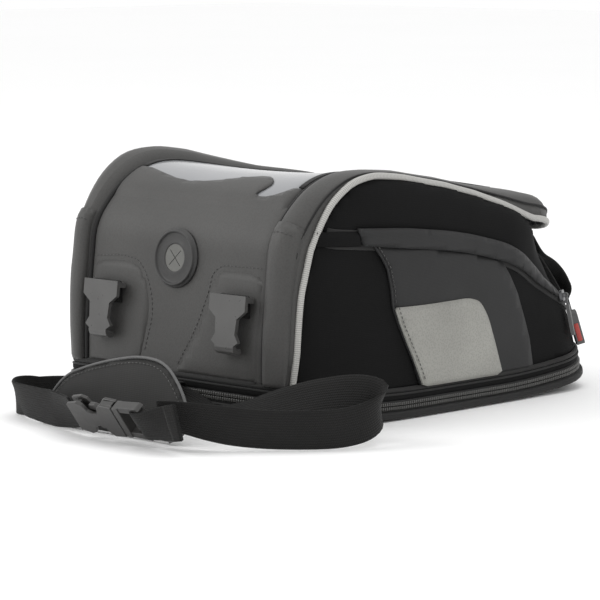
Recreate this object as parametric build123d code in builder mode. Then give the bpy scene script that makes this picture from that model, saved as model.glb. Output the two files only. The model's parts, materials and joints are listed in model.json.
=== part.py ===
from build123d import *

import os
from math import asin, atan2, cos, degrees, radians, sin

os.makedirs("parts", exist_ok=True)

# A motorcycle tank bag. +Z is up, the bag's length runs along Y with its hook end at -Y,
# and the origin is on the ground below the middle of the bag. All sizes are in millimetres.

# ---------------------------------------------------------------- driving dimensions
FRONT_Y = -184.0          # front face at the base seam, on the centre line
REAR_Y = 184.0            # rear face at the base seam
FRONT_HALF = 128.0        # half width at the front corners
FRONT_SAG = 10.0          # how far the front corners stand behind the centre
MID_HALF = 138.0          # half width from the middle backwards
MID_Y = -20.0             # where the sides stop widening
REAR_CORNER = 52.0        # plan radius of the rear corners
REAR_LEAN = 0.396         # rear wall's run forward for each millimetre of height
SEAM_Z = 34.0             # height where the rear wall starts to lean
SPLICE_Y = 60.0           # upright and leaning parts of the wall meet here, where both are flat
WALL = 3.0                # padded wall
SKIN = 1.2                # sewn-on panel

ROCKER_FLAT = 50.0        # half length of the flat middle of the underside
ROCKER_RADIUS = 760.0     # the underside rises towards both ends on this radius
ROCKER_ANGLE = 14.0
FLANGE = 8.0              # bottom binding stands this far outside the wall

BINDING_TOP = 7.0         # heights above the rocker line, from the ground up
ZIP_SPLIT = 10.5
ZIP_TOP = 14.0
BAND_TOP = 21.0
WALL_BOTTOM = 24.0

HINGE_Y = -164.5          # lid hinge, in the plane of the front face
HINGE_Z = 155.0
TAPE = 7.0                # width of each half of the main zip
GAP = 0.4                 # half of the gap between lid and body along the main zip

CAP_REAR_Y = 152.0        # lid cap overhangs the rear wall up to here
CAP_CORNER = 45.0
CAP_RIM = 9.0             # depth of the cap's turned-down sides
CAP_REAR_Z = 131.0        # the cap's rear edge is rolled down to here

PIPING_X = 98.0           # piping between centre panel and side strips
HOOK_X = 72.0
HOOK_Z = 98.0
PORT_Z = 124.0            # cable port centre

WEB_WIDTH = 30.0          # belt webbing
WEB_THICK = 1.6
REACH = 230.0             # longer than the bag, for cutting shapes

FRONT_RUN = (15.5, 132.0) # the front face leans back 15.5 mm over a height of 132 mm
FACE_LEAN = degrees(atan2(*FRONT_RUN))


def export(part, name):
    """Label a finished piece and write it to its own file."""
    part.label = name
    export_step(part, f"parts/{name}.step")


# ---------------------------------------------------------------- outlines seen from above
def half_outline(rear_y, corner):
    """Right half of the bag's plan, from the front centre round to the rear centre."""
    front_radius = (FRONT_HALF**2 + FRONT_SAG**2) / (2 * FRONT_SAG)
    front_angle = degrees(asin(FRONT_HALF / front_radius))
    CenterArc((0, FRONT_Y + front_radius), front_radius, 270, front_angle)
    flank_y = FRONT_Y + FRONT_SAG
    widening = MID_HALF - FRONT_HALF
    run = MID_Y - flank_y
    flank_radius = (widening**2 + run**2) / (2 * widening)
    flank_angle = degrees(asin(run / flank_radius))
    CenterArc((MID_HALF - flank_radius, MID_Y), flank_radius, -flank_angle, flank_angle)
    Line((MID_HALF, MID_Y), (MID_HALF, rear_y - corner))
    CenterArc((MID_HALF - corner, rear_y - corner), corner, 0, 90)
    Line((MID_HALF - corner, rear_y), (0, rear_y))


def plan(inset, z=0.0, rear_y=REAR_Y, corner=REAR_CORNER):
    """Plan of the bag at height z, moved inwards by inset."""
    with BuildSketch(Plane.XY.offset(z)) as outline:
        with BuildLine():
            half_outline(rear_y, corner)
            mirror(about=Plane.YZ)
        make_face()
        if inset:
            offset(amount=-inset)
    return outline.sketch


# ---------------------------------------------------------------- curves seen from the side
def rocker(lift):
    """Underside line: flat in the middle and rising to both ends. Returns its two end heights."""
    Line((-ROCKER_FLAT, lift), (ROCKER_FLAT, lift))
    for side, start in ((-1, 270 - ROCKER_ANGLE), (1, 270)):
        CenterArc((side * ROCKER_FLAT, lift + ROCKER_RADIUS), ROCKER_RADIUS, start, ROCKER_ANGLE)
    end = lift + ROCKER_RADIUS * (1 - cos(radians(ROCKER_ANGLE)))
    reach = ROCKER_FLAT + ROCKER_RADIUS * sin(radians(ROCKER_ANGLE))
    return (-reach, end), (reach, end)


def smooth(points):
    """Arc radii for a polyline's corners, each arc using 0.45 of the shorter run beside it."""
    radii = []
    for before, corner, after in zip(points, points[1:], points[2:]):
        first = Vector(*corner) - Vector(*before)
        second = Vector(*after) - Vector(*corner)
        turn = radians(first.get_angle(second))
        radii.append(0.45 * min(first.length, second.length) / (sin(turn / 2) / cos(turn / 2)))
    return radii


ZIP_CORNERS = [(-140, 146), (-60, 138.5), (5, 131), (72, 115), (122, 85.5), (152, 69), (185, 67.5)]


def main_zip(lift):
    """Line of the main zip, from the hinge back and down to the rear. Returns its ends."""
    corners = [(-REACH, HINGE_Z), (HINGE_Y + 4, HINGE_Z)] + ZIP_CORNERS + [(REACH, ZIP_CORNERS[-1][1])]
    points = [(y, z + lift) for y, z in corners]
    FilletPolyline(*points, radius=smooth(points))
    return points[0], points[-1]


def level(height):
    """A flat line right across."""
    Line((-REACH, height), (REACH, height))
    return (-REACH, height), (REACH, height)


def between(lower, low, upper, high):
    """Side-view region between two curves, each moved up by its own lift."""
    with BuildSketch(Plane.YZ) as region:
        with BuildLine():
            front_low, rear_low = lower(low)
            front_high, rear_high = upper(high)
            Line(front_low, front_high)
            Line(rear_low, rear_high)
        make_face()
    return region.sketch


CROWN = [(-166.9, 158.5), (-129, 188), (-76, 196.4), (-17, 188.7), (60, 171)]
TOP_FALL = 0.275          # the rear half of the top falls at this slope


def profile(inset):
    """Side view of the bag: the leaning front face, the front shoulder and the falling top."""
    lean_y, lean_z = FRONT_RUN
    foot = (CROWN[0][0] - (CROWN[0][1] + 5) * lean_y / lean_z, -5)
    rear = (REACH, CROWN[-1][1] - TOP_FALL * (REACH - CROWN[-1][0]))
    points = [foot] + CROWN + [rear]
    with BuildSketch(Plane.YZ) as side:
        with BuildLine():
            FilletPolyline(*points, radius=smooth(points))
            Line(rear, (REACH, -5))
            Line((REACH, -5), foot)
        make_face()
        if inset:
            offset(amount=-inset, kind=Kind.INTERSECTION)
    return side.sketch


# ---------------------------------------------------------------- solids that the panels are cut from
def block(inset):
    """Whole bag body as a solid, moved inwards by inset."""
    rise = 200.0
    slant = Vector(0, -REAR_LEAN, 1)
    with BuildPart() as upright:
        extrude(plan(inset, -10), amount=240)
        split(bisect_by=Plane.XZ.offset(-SPLICE_Y), keep=Keep.TOP)
    with BuildPart() as leaning:
        extrude(plan(inset, SEAM_Z), amount=rise * slant.length, dir=slant.normalized())
        extrude(plan(inset, SEAM_Z), amount=-SEAM_Z - 10)
        split(bisect_by=Plane.XZ.offset(-SPLICE_Y), keep=Keep.BOTTOM)
    with BuildPart() as body:
        add(upright.part)
        add(leaning.part)
        extrude(profile(inset), amount=REACH, both=True, mode=Mode.INTERSECT)
    return body.part


def cap_block(inset):
    """Solid under the lid's cap, moved inwards by inset."""
    with BuildPart() as cap:
        extrude(plan(inset, -10, CAP_REAR_Y, CAP_CORNER), amount=240)
        extrude(profile(inset), amount=REACH, both=True, mode=Mode.INTERSECT)
    return cap.part


def shell(outer, inner):
    """Skin between two of the blocks above."""
    with BuildPart() as skin:
        add(outer)
        add(inner, mode=Mode.SUBTRACT)
    return skin.part


def clip(solid, region, x_from, x_to, y_from=-REACH, y_to=REACH):
    """The part of a solid that lies in a side-view region and between two planes each way."""
    with BuildPart() as piece:
        add(solid)
        extrude(region, amount=REACH, both=True, mode=Mode.INTERSECT)
        with Locations(((x_from + x_to) / 2, (y_from + y_to) / 2, 100)):
            Box(x_to - x_from, y_to - y_from, 400, mode=Mode.INTERSECT)
    return piece.part


def ring(outset, inset, low, high):
    """Band round the base between two insets and two heights above the underside line."""
    with BuildPart() as band:
        extrude(plan(-outset, -10), amount=80)
        extrude(plan(inset, -10), amount=80, mode=Mode.SUBTRACT)
        extrude(between(rocker, low, rocker, high), amount=REACH, both=True, mode=Mode.INTERSECT)
    return band.part


def pair(part):
    """A right-hand piece together with its mirror image."""
    with BuildPart() as both:
        add(part)
        mirror(part, about=Plane.YZ)
    return both.part


def face_plane(x, z, stand_off=0.0):
    """Plane on the leaning front face: local y runs up the face and local z points outwards."""
    lean_y, lean_z = FRONT_RUN
    y = -170 + lean_y * (z - 132) / lean_z
    tilt = radians(FACE_LEAN)
    normal = Vector(0, -cos(tilt), sin(tilt))
    return Plane(origin=Vector(x, y, z) + normal * stand_off, x_dir=(1, 0, 0), z_dir=normal)


OUTER = block(0)
INNER = block(WALL)
WALLS = shell(OUTER, INNER)
PANELS = shell(block(-SKIN), OUTER)
WIDE = MID_HALF + 20      # beyond the side of the bag
SIDE = FRONT_HALF - 4     # side walls are what lies outside this plane
REAR_CUT = 108.0          # side walls end and the rear wall begins here

# ---------------------------------------------------------------- base
export(ring(FLANGE, 5, 0, BINDING_TOP), "bottom_binding")
export(ring(3, 4, BINDING_TOP, ZIP_SPLIT - 0.2), "expansion_zip_lower")
export(ring(-4.6, 5.4, BINDING_TOP, WALL_BOTTOM), "expansion_gusset")

POST_Y = -84.2
with BuildPart() as base_tray:
    extrude(plan(6, -10), amount=80)
    extrude(between(rocker, 13, rocker, 16), amount=REACH, both=True, mode=Mode.INTERSECT)
    add(ring(-6, 9, 0.5, 13))
    # post that the latch spring bears on
    with Locations((0, POST_Y, 11.4)):
        Box(5, 2.5, 7)
export(base_tray.part, "base_tray")

with BuildPart() as floor_pad:
    extrude(plan(8, -10), amount=80)
    extrude(between(rocker, 16, rocker, 21), amount=REACH, both=True, mode=Mode.INTERSECT)
export(floor_pad.part, "floor_pad")

PAD_X = 98.0              # rubber strips under the tray, one each side of the quick-lock socket
with BuildPart() as underside_pads:
    with BuildSketch():
        with Locations((-PAD_X, 0), (PAD_X, 0)):
            RectangleRounded(44, 250, 12)
    extrude(amount=40)
    extrude(between(rocker, 0, rocker, 13), amount=REACH, both=True, mode=Mode.INTERSECT)
export(underside_pads.part, "underside_pads")

# ---------------------------------------------------------------- quick-lock socket
SOCKET_R = 43.0
SOCKET_MOUTH = 0.5
SOCKET_DEPTH = 6.0
HOUSING_R = 60.0
TRAY_UNDERSIDE = 13.0
LATCH_Z = 7.4
LATCH_HEIGHT = 4.0
LATCH_HALF = 8.0
with BuildPart() as lock_housing:
    with BuildSketch(Plane.XY.offset(SOCKET_MOUTH)):
        Circle(HOUSING_R)
    extrude(amount=TRAY_UNDERSIDE - SOCKET_MOUTH)
    with BuildSketch(Plane.XY.offset(SOCKET_MOUTH)):
        Circle(SOCKET_R)
    extrude(amount=SOCKET_DEPTH, mode=Mode.SUBTRACT)
    with BuildSketch(Plane.XY.offset(SOCKET_MOUTH + SOCKET_DEPTH)):
        Circle(SOCKET_R + 3)
    extrude(amount=5.2, mode=Mode.SUBTRACT)
    # slot for the latch bar, open at the front, with a pocket for its spring
    with BuildSketch(Plane.XY.offset(LATCH_Z - 0.3)):
        with Locations((0, -60)):
            Rectangle(2 * LATCH_HALF + 0.6, 50)
    extrude(amount=LATCH_HEIGHT + 0.6, mode=Mode.SUBTRACT)
    screw_places = [(x, y) for x in (-37, 37) for y in (-37, 37)]
    with Locations(*[(x, y, SOCKET_MOUTH) for x, y in screw_places]):
        Cylinder(2.2, 30, mode=Mode.SUBTRACT)
        Cylinder(4.2, 6, mode=Mode.SUBTRACT)
export(lock_housing.part, "lock_housing")

with BuildPart() as lock_screws:
    with Locations(*[(x, y, 8) for x, y in screw_places]):
        Cylinder(2.0, 9, align=(Align.CENTER, Align.CENTER, Align.CENTER))
    with Locations(*[(x, y, 2.2) for x, y in screw_places]):
        Cylinder(3.9, 2.6, align=(Align.CENTER, Align.CENTER, Align.CENTER))
export(lock_screws.part, "lock_screws")

LATCH_TIP = -40.0
with BuildPart() as lock_latch:
    with BuildSketch(Plane.XY.offset(LATCH_Z)):
        with BuildLine():
            Polyline((-LATCH_HALF, -100), (LATCH_HALF, -100), (LATCH_HALF, LATCH_TIP - 3),
                     (LATCH_HALF - 3, LATCH_TIP), (3 - LATCH_HALF, LATCH_TIP),
                     (-LATCH_HALF, LATCH_TIP - 3), close=True)
        make_face()
        with Locations((0, -76)):
            Rectangle(7, 20, mode=Mode.SUBTRACT)
    extrude(amount=LATCH_HEIGHT)
    # finger tab that hangs from the bar's outer end
    with Locations((0, -98, 5.6)):
        Box(28, 5, 9)
    fillet(lock_latch.edges().filter_by(Axis.Z).group_by(Axis.Y)[0], 1.5)
export(lock_latch.part, "lock_latch")

with BuildPart() as lock_spring:
    with BuildLine() as coil:
        Helix(pitch=2.6, height=15.6, radius=1.5, center=(0, POST_Y + 1.7, LATCH_Z + 2), direction=(0, 1, 0))
    with BuildSketch(Plane(coil.line @ 0, z_dir=coil.line % 0)):
        Circle(0.35)
    sweep(is_frenet=True)
export(lock_spring.part, "lock_spring")

# ---------------------------------------------------------------- lower edge of the bag
export(ring(3, 4, ZIP_SPLIT + 0.2, ZIP_TOP), "expansion_zip_upper")
export(ring(1.5, 3, ZIP_TOP, BAND_TOP), "lower_band")
export(ring(3.5, 1.5, BAND_TOP, WALL_BOTTOM), "seam_piping")

# ---------------------------------------------------------------- walls of the bag
BODY = between(rocker, WALL_BOTTOM, main_zip, -TAPE)
side_wall_right = clip(WALLS, BODY, SIDE, WIDE, y_to=REAR_CUT)
export(side_wall_right, "side_wall_right")
with BuildPart() as side_wall_left:
    mirror(side_wall_right, about=Plane.YZ)
export(side_wall_left.part, "side_wall_left")
export(clip(WALLS, BODY, -WIDE, WIDE, y_from=REAR_CUT), "rear_wall")

PORT_HOLE = 16.0
FRONT = between(rocker, WALL_BOTTOM, level, HINGE_Z - GAP)
with BuildPart() as front_wall:
    add(clip(WALLS, FRONT, -SIDE, SIDE, y_to=HINGE_Y + 10))
    with BuildSketch(face_plane(0, PORT_Z, 10)):
        Circle(PORT_HOLE)
    extrude(amount=-30, mode=Mode.SUBTRACT)
export(front_wall.part, "front_wall")

# ---------------------------------------------------------------- panels sewn to the front
with BuildPart() as patch_right:
    add(clip(PANELS, FRONT, 0, PIPING_X - 1.5, y_to=HINGE_Y))
    with BuildSketch(Plane.XZ) as patch_outline:
        with BuildLine():
            Line((PIPING_X, 20), (PIPING_X, 119))
            Line((PIPING_X, 119), (50, 119))
            ThreePointArc((50, 119), (41, 115), (38, 106))
            ThreePointArc((38, 106), (30, 77), (4, 20))
            Line((4, 20), (PIPING_X, 20))
        make_face()
    extrude(amount=REACH, both=True, mode=Mode.INTERSECT)
export(pair(patch_right.part), "front_patches")

export(pair(clip(PANELS, FRONT, PIPING_X + 1.5, SIDE, y_to=HINGE_Y)), "front_strips")

CORD_SKIN = shell(block(-2.2), OUTER)
export(pair(clip(CORD_SKIN, FRONT, PIPING_X - 1.5, PIPING_X + 1.5, y_to=HINGE_Y)), "front_piping")

# ---------------------------------------------------------------- reflective piping on the side edges
with BuildPart() as edge_band:
    extrude(profile(-3), amount=REACH, both=True)
    extrude(profile(5), amount=REACH, both=True, mode=Mode.SUBTRACT)
with BuildPart() as edge_cord:
    add(clip(CORD_SKIN, between(rocker, WALL_BOTTOM, level, 240), SIDE + 2, WIDE, y_to=REAR_CUT))
    add(edge_band.part, mode=Mode.INTERSECT)
BELOW_HINGE = between(level, -10, level, HINGE_Z - GAP)
ABOVE_HINGE = between(level, HINGE_Z + GAP, level, 240)
export(pair(clip(edge_cord.part, BELOW_HINGE, SIDE, WIDE, y_to=HINGE_Y + 20)), "reflective_piping_lower")

# ---------------------------------------------------------------- panels sewn to the sides
def patch_outline_side(shrink):
    """Light patch in the lower front corner of the side panel, seen from the side."""
    Line((-73 + shrink, 88 - shrink), (20, 86 - shrink))
    ThreePointArc((20, 86 - shrink), (35 - shrink, 74), (46 - shrink, 45))
    Line((46 - shrink, 45), (55 - shrink, 10))
    Line((55 - shrink, 10), (-36 + shrink, 10))
    ThreePointArc((-36 + shrink, 10), (-59 + shrink, 58), (-73 + shrink, 88 - shrink))


with BuildPart() as side_panel:
    add(clip(PANELS, BODY, SIDE, WIDE))
    with BuildSketch(Plane.YZ):
        with BuildLine():
            ThreePointArc((-93, 142), (-78, 112), (-73, 88))
            ThreePointArc((-73, 88), (-59, 58), (-36, 10))
            Line((-36, 10), (104, 10))
            ThreePointArc((104, 10), (79, 75), (56, 132))
            Line((56, 132), (-93, 142))
        make_face()
        with BuildLine():
            patch_outline_side(0)
        make_face(mode=Mode.SUBTRACT)
    extrude(amount=REACH, mode=Mode.INTERSECT)
export(pair(side_panel.part), "side_panels")

with BuildPart() as side_patch:
    add(clip(PANELS, BODY, SIDE, WIDE))
    with BuildSketch(Plane.YZ):
        with BuildLine():
            patch_outline_side(0.4)
        make_face()
    extrude(amount=REACH, mode=Mode.INTERSECT)
export(pair(side_patch.part), "side_patches")

# ---------------------------------------------------------------- cable port
with BuildPart() as cable_port_ring:
    with BuildSketch(face_plane(0, PORT_Z, 0.05)):
        Circle(23)
        Circle(13, mode=Mode.SUBTRACT)
    extrude(amount=4.5)
    fillet(cable_port_ring.edges().filter_by(GeomType.CIRCLE).group_by(Axis.Y)[0], 1.2)
export(cable_port_ring.part, "cable_port_ring")

with BuildPart() as cable_port_membrane:
    with BuildSketch(face_plane(0, PORT_Z, 1.0)):
        Circle(12.9)
        with Locations(Rotation(0, 0, 45), Rotation(0, 0, -45)):
            Rectangle(17, 0.6, mode=Mode.SUBTRACT)
    extrude(amount=2.2)
export(cable_port_membrane.part, "cable_port_membrane")

with BuildPart() as cable_port_backing:
    with BuildSketch(face_plane(0, PORT_Z, -WALL - 2.9)):
        Circle(21)
        Circle(13, mode=Mode.SUBTRACT)
    extrude(amount=2.0)
    with BuildSketch(face_plane(0, PORT_Z, -WALL - 1)):
        Circle(15.7)
        Circle(13, mode=Mode.SUBTRACT)
    extrude(amount=WALL + 1)
export(cable_port_backing.part, "cable_port_backing")

# ---------------------------------------------------------------- strap hooks
BAR_OFF = 6.3             # hinge bar's distance from the front face
BAR_R = 2.0
HOOK_HALF = 19.5
PLATE_OFF = 4.0           # back of the hook's plate, measured outwards from the bar
PLATE = 3.2


def strap_hook(x):
    """Flat hook that hangs from a bar. Its foot curls back towards the bag."""
    bar = face_plane(x, HOOK_Z, BAR_OFF)
    # seen from the side: local x runs up the face and local y points away from the bag
    side = Plane(origin=bar.origin - Vector(HOOK_HALF, 0, 0), x_dir=bar.y_dir, z_dir=(1, 0, 0))
    inner = PLATE_OFF
    outer = PLATE_OFF + PLATE
    with BuildPart() as hook:
        with BuildSketch(side):
            with BuildLine():
                Line((3, outer), (-36, outer))
                ThreePointArc((-36, outer), (-42.4, outer - 4.2), (-41, outer - 9.6))
                Line((-41, outer - 9.6), (-37.8, outer - 8.6))
                ThreePointArc((-37.8, outer - 8.6), (-38.5, outer - 5.4), (-35, inner))
                Line((-35, inner), (3, inner))
                Line((3, inner), (3, outer))
            make_face()
        extrude(amount=2 * HOOK_HALF)
        # T-shaped outline with a flared barb above the foot
        with BuildSketch(bar):
            with BuildLine():
                Polyline((0, 3), (HOOK_HALF, 3), (HOOK_HALF, -9), (11.5, -15), (10.5, -27),
                         (14.5, -33), (10, -36), (10, -50), (0, -50))
                mirror(about=Plane.YZ)
            make_face()
        extrude(amount=20, both=True, mode=Mode.INTERSECT)
        # two arms carry the hinge bar behind the plate
        with Locations(side):
            for near in (0, 2 * HOOK_HALF - 3):
                with Locations((0, PLATE_OFF / 2 - BAR_R / 2, near + 1.5)):
                    Box(2 * BAR_R, PLATE_OFF + BAR_R, 3)
            Cylinder(BAR_R, 2 * HOOK_HALF, align=(Align.CENTER, Align.CENTER, Align.MIN))
    return hook.part


def hook_tab(x):
    """Webbing tab, looped round the hook's bar and sewn to the front patch."""
    bar = face_plane(x, HOOK_Z, BAR_OFF)
    side = Plane(origin=bar.origin - Vector(15, 0, 0), x_dir=bar.y_dir, z_dir=(1, 0, 0))
    sewn = -(BAR_OFF - SKIN - 0.05)
    with BuildPart() as tab:
        with BuildSketch(side):
            Circle(BAR_R + 1.5)
            with Locations((0, sewn / 2)):
                Rectangle(3.0, -sewn)
            with Locations((5, sewn + 0.6)):
                Rectangle(20, 1.2)
            Circle(BAR_R + 0.05, mode=Mode.SUBTRACT)
        extrude(amount=30)
    return tab.part


export(strap_hook(HOOK_X), "hook_right")
export(strap_hook(-HOOK_X), "hook_left")
with BuildPart() as hook_tabs:
    add(hook_tab(HOOK_X))
    add(hook_tab(-HOOK_X))
export(hook_tabs.part, "hook_tabs")

# ---------------------------------------------------------------- main zip
TAPE_SKIN = shell(block(0.8), block(2.4))
UNDER_ZIP = between(main_zip, -TAPE, main_zip, -GAP)
OVER_ZIP = between(main_zip, GAP, main_zip, TAPE)
ZIP_FRONT = HINGE_Y + 2
ZIP_BEND = HINGE_Y + 10.4  # in front of this plane the tape is only on the sides
GARAGE_FRONT = HINGE_Y + 16
with BuildPart() as main_zip_lower:
    add(clip(TAPE_SKIN, UNDER_ZIP, -WIDE, WIDE, y_from=ZIP_BEND))
    add(clip(TAPE_SKIN, UNDER_ZIP, SIDE + 0.2, WIDE, ZIP_FRONT, ZIP_BEND))
    add(clip(TAPE_SKIN, UNDER_ZIP, -WIDE, -SIDE - 0.2, ZIP_FRONT, ZIP_BEND))
export(main_zip_lower.part, "main_zip_lower")
with BuildPart() as main_zip_upper:
    add(clip(TAPE_SKIN, OVER_ZIP, -WIDE, WIDE, y_from=ZIP_BEND))
    extrude(profile(CAP_RIM + 0.2), amount=REACH, both=True, mode=Mode.INTERSECT)
export(main_zip_upper.part, "main_zip_upper")

# ---------------------------------------------------------------- lid
OVERHANG_Y = 125.0        # behind this plane the cap reaches down to its rolled edge
INNER_CAP = cap_block(WALL)
CAP_SHELL = shell(cap_block(0), INNER_CAP)
with BuildPart() as below_rim:
    extrude(profile(CAP_RIM), amount=REACH, both=True)
    with Locations((0, REACH / 2 + OVERHANG_Y, 0)):
        Box(2 * REACH, REACH, 2 * REACH, mode=Mode.SUBTRACT)
with BuildPart() as lid_cap:
    add(clip(CAP_SHELL, ABOVE_HINGE, -WIDE, WIDE, y_to=-100))
    add(clip(CAP_SHELL, between(level, 120, level, 240), -WIDE, WIDE, -100, OVERHANG_Y))
    add(below_rim.part, mode=Mode.SUBTRACT)
    add(clip(CAP_SHELL, between(level, CAP_REAR_Z, level, 240), -WIDE, WIDE, y_from=OVERHANG_Y))
export(lid_cap.part, "lid_cap")

# the lid's sides hang below the cap's rim, down to the zip
LID = between(main_zip, TAPE, level, 240)
with BuildPart() as lid_walls:
    add(WALLS)
    extrude(LID, amount=REACH, both=True, mode=Mode.INTERSECT)
    extrude(profile(CAP_RIM), amount=REACH, both=True, mode=Mode.INTERSECT)
LID_VIEW = between(level, 0, level, 240)
lid_side_right = clip(lid_walls.part, LID_VIEW, SIDE, WIDE, HINGE_Y + CAP_RIM, REAR_CUT)
export(lid_side_right, "lid_side_right")
with BuildPart() as lid_side_left:
    mirror(lid_side_right, about=Plane.YZ)
export(lid_side_left.part, "lid_side_left")
REAR_TOP = between(level, 0, level, CAP_REAR_Z - 0.4)
with BuildPart() as lid_rear_wall:
    add(clip(lid_walls.part, REAR_TOP, -WIDE, WIDE, y_from=REAR_CUT))
    add(clip(lid_walls.part, LID_VIEW, -WIDE, WIDE, REAR_CUT, OVERHANG_Y - 0.4))
export(lid_rear_wall.part, "lid_rear_wall")

# rain flap over the zip: its top edge is sewn down and the rest hangs free
FLAP_DROP = 5.0
FLAP_TOP = 10.0
FLAP_SKIN = shell(block(-1.8), OUTER)
FLAP_BAND = between(main_zip, -FLAP_DROP, main_zip, FLAP_TOP)
with BuildPart() as flap_gap:
    add(block(-0.35))
    extrude(between(level, -10, main_zip, TAPE), amount=REACH, both=True, mode=Mode.INTERSECT)
FLAP_START = -104.0
FLAP_END = 126.0          # the right-hand flap stops short of the corner where the sliders park
rain_flap_right = clip(FLAP_SKIN, FLAP_BAND, SIDE, WIDE, FLAP_START, FLAP_END)
with BuildPart() as right_flap:
    add(rain_flap_right)
    add(flap_gap.part, mode=Mode.SUBTRACT)
export(right_flap.part, "rain_flap_right")
with BuildPart() as left_flap:
    add(clip(FLAP_SKIN, FLAP_BAND, -WIDE, MID_HALF - REAR_CORNER, y_from=FLAP_START))
    with Locations((SIDE, 0, 100)):
        Box(2 * SIDE, 2 * FLAP_END, 300, mode=Mode.SUBTRACT)
    add(flap_gap.part, mode=Mode.SUBTRACT)
export(left_flap.part, "rain_flap_left")
with BuildPart() as zip_garage:
    add(clip(FLAP_SKIN, FLAP_BAND, SIDE, WIDE, GARAGE_FRONT, FLAP_START - 0.5))
    add(flap_gap.part, mode=Mode.SUBTRACT)
export(pair(zip_garage.part), "zip_garages")

# skins on the cap
CAP_SKIN = shell(cap_block(-SKIN), cap_block(0))
CAP_CORD = shell(cap_block(-2.2), cap_block(0))
# skins start higher than the hinge, so that they pass outside the body's skins when the lid is open
ABOVE = between(level, HINGE_Z + 1.8, level, 240)
HIGHER = between(level, HINGE_Z + 3.0, level, 240)
export(pair(clip(CAP_SKIN, ABOVE, PIPING_X + 1.5, SIDE, y_to=-60)), "lid_strips")
export(pair(clip(CAP_CORD, HIGHER, PIPING_X - 1.5, PIPING_X + 1.5, y_to=120)), "lid_piping")

with BuildPart() as cap_edge:
    add(clip(CAP_CORD, between(level, 120, level, 240), SIDE + 2, WIDE, y_to=CAP_REAR_Y - CAP_CORNER))
    add(edge_band.part, mode=Mode.INTERSECT)
export(pair(clip(cap_edge.part, HIGHER, SIDE, WIDE)), "reflective_piping_upper")

# clear map window, its binding, and the leather edge with its pull tongue
WINDOW_X = 86.0
WINDOW_FRONT = -146.0
WINDOW_REAR = 96.0
with BuildPart() as map_window:
    add(shell(cap_block(-0.9), cap_block(-0.1)))
    with BuildSketch():
        with Locations((0, (WINDOW_FRONT + WINDOW_REAR) / 2)):
            RectangleRounded(2 * WINDOW_X, WINDOW_REAR - WINDOW_FRONT, 14)
    extrude(amount=REACH, mode=Mode.INTERSECT)
    with Locations((0, 0, 160)):
        Box(2 * REACH, 2 * REACH, 80, mode=Mode.INTERSECT)
export(map_window.part, "map_window")

with BuildPart() as window_binding:
    add(CAP_SKIN)
    with BuildSketch():
        with Locations((0, (WINDOW_FRONT + WINDOW_REAR) / 2)):
            RectangleRounded(2 * WINDOW_X + 16, WINDOW_REAR - WINDOW_FRONT + 16, 18)
            RectangleRounded(2 * WINDOW_X + 0.6, WINDOW_REAR - WINDOW_FRONT + 0.6, 14, mode=Mode.SUBTRACT)
    extrude(amount=REACH, mode=Mode.INTERSECT)
    with Locations((0, 0, 160)):
        Box(2 * REACH, 2 * REACH, 80, mode=Mode.INTERSECT)
export(window_binding.part, "window_binding")

with BuildPart() as map_flap:
    add(shell(cap_block(-2.4), cap_block(-1.3)))
    with BuildSketch():
        with BuildLine():
            Line((-95, -157), (95, -157))
            Line((95, -157), (95, -132))
            ThreePointArc((95, -132), (78, -139), (60, -136))
            ThreePointArc((60, -136), (50, -113), (28, -114))
            ThreePointArc((28, -114), (-22, -130), (-62, -124))
            ThreePointArc((-62, -124), (-80, -118), (-95, -118))
            Line((-95, -118), (-95, -157))
        make_face()
    extrude(amount=REACH, mode=Mode.INTERSECT)
    with Locations((0, 0, 160)):
        Box(2 * REACH, 2 * REACH, 100, mode=Mode.INTERSECT)
export(map_flap.part, "map_flap")

# ---------------------------------------------------------------- grab loops on the lid's rear wall
LOOP_X = 76.0
LOOP_WIDTH = 38.0
LOOP_TOP_Z = 118.0


def rear_y(z):
    """Outer face of the leaning rear wall at height z."""
    return REAR_Y - REAR_LEAN * (z - SEAM_Z)


def grab_loop(x):
    """Flattened loop of webbing. Its two ends are sewn together at the top."""
    top = rear_y(LOOP_TOP_Z)
    with BuildLine() as path:
        Line((top + 1.8, LOOP_TOP_Z + 6), (top + 3.2, LOOP_TOP_Z))
        ThreePointArc((top + 3.2, LOOP_TOP_Z), (top + 28, LOOP_TOP_Z - 17), (201.5, 76))
        ThreePointArc((201.5, 76), (197, 67), (188, 71))
        Line((188, 71), (top + 4.4, LOOP_TOP_Z - 6))
    with BuildPart() as loop:
        with BuildSketch(Plane.YZ.offset(x - LOOP_WIDTH / 2)):
            with BuildLine():
                offset(path.line, amount=0.8, side=Side.BOTH)
            make_face()
        extrude(amount=LOOP_WIDTH)
    return loop.part


export(grab_loop(LOOP_X), "grab_loop_right")
export(grab_loop(-LOOP_X), "grab_loop_left")

# ---------------------------------------------------------------- zip sliders and their pulls
def corner_plane(angle, z, stand_off):
    """Plane on the leaning rear corner: local x runs round the corner and local y runs up the wall."""
    turn = radians(angle)
    centre = Vector(MID_HALF - REAR_CORNER, REAR_Y - REAR_CORNER - REAR_LEAN * (z - SEAM_Z), z)
    out = Vector(cos(turn), sin(turn), 0)
    along = Vector(-sin(turn), cos(turn), 0)
    up = Vector(0, -REAR_LEAN, 1).normalized()
    normal = along.cross(up)
    if normal.dot(out) < 0:
        normal = -normal
    foot = centre + out * REAR_CORNER
    return Plane(origin=foot + normal.normalized() * stand_off, x_dir=along, z_dir=normal)


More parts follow.
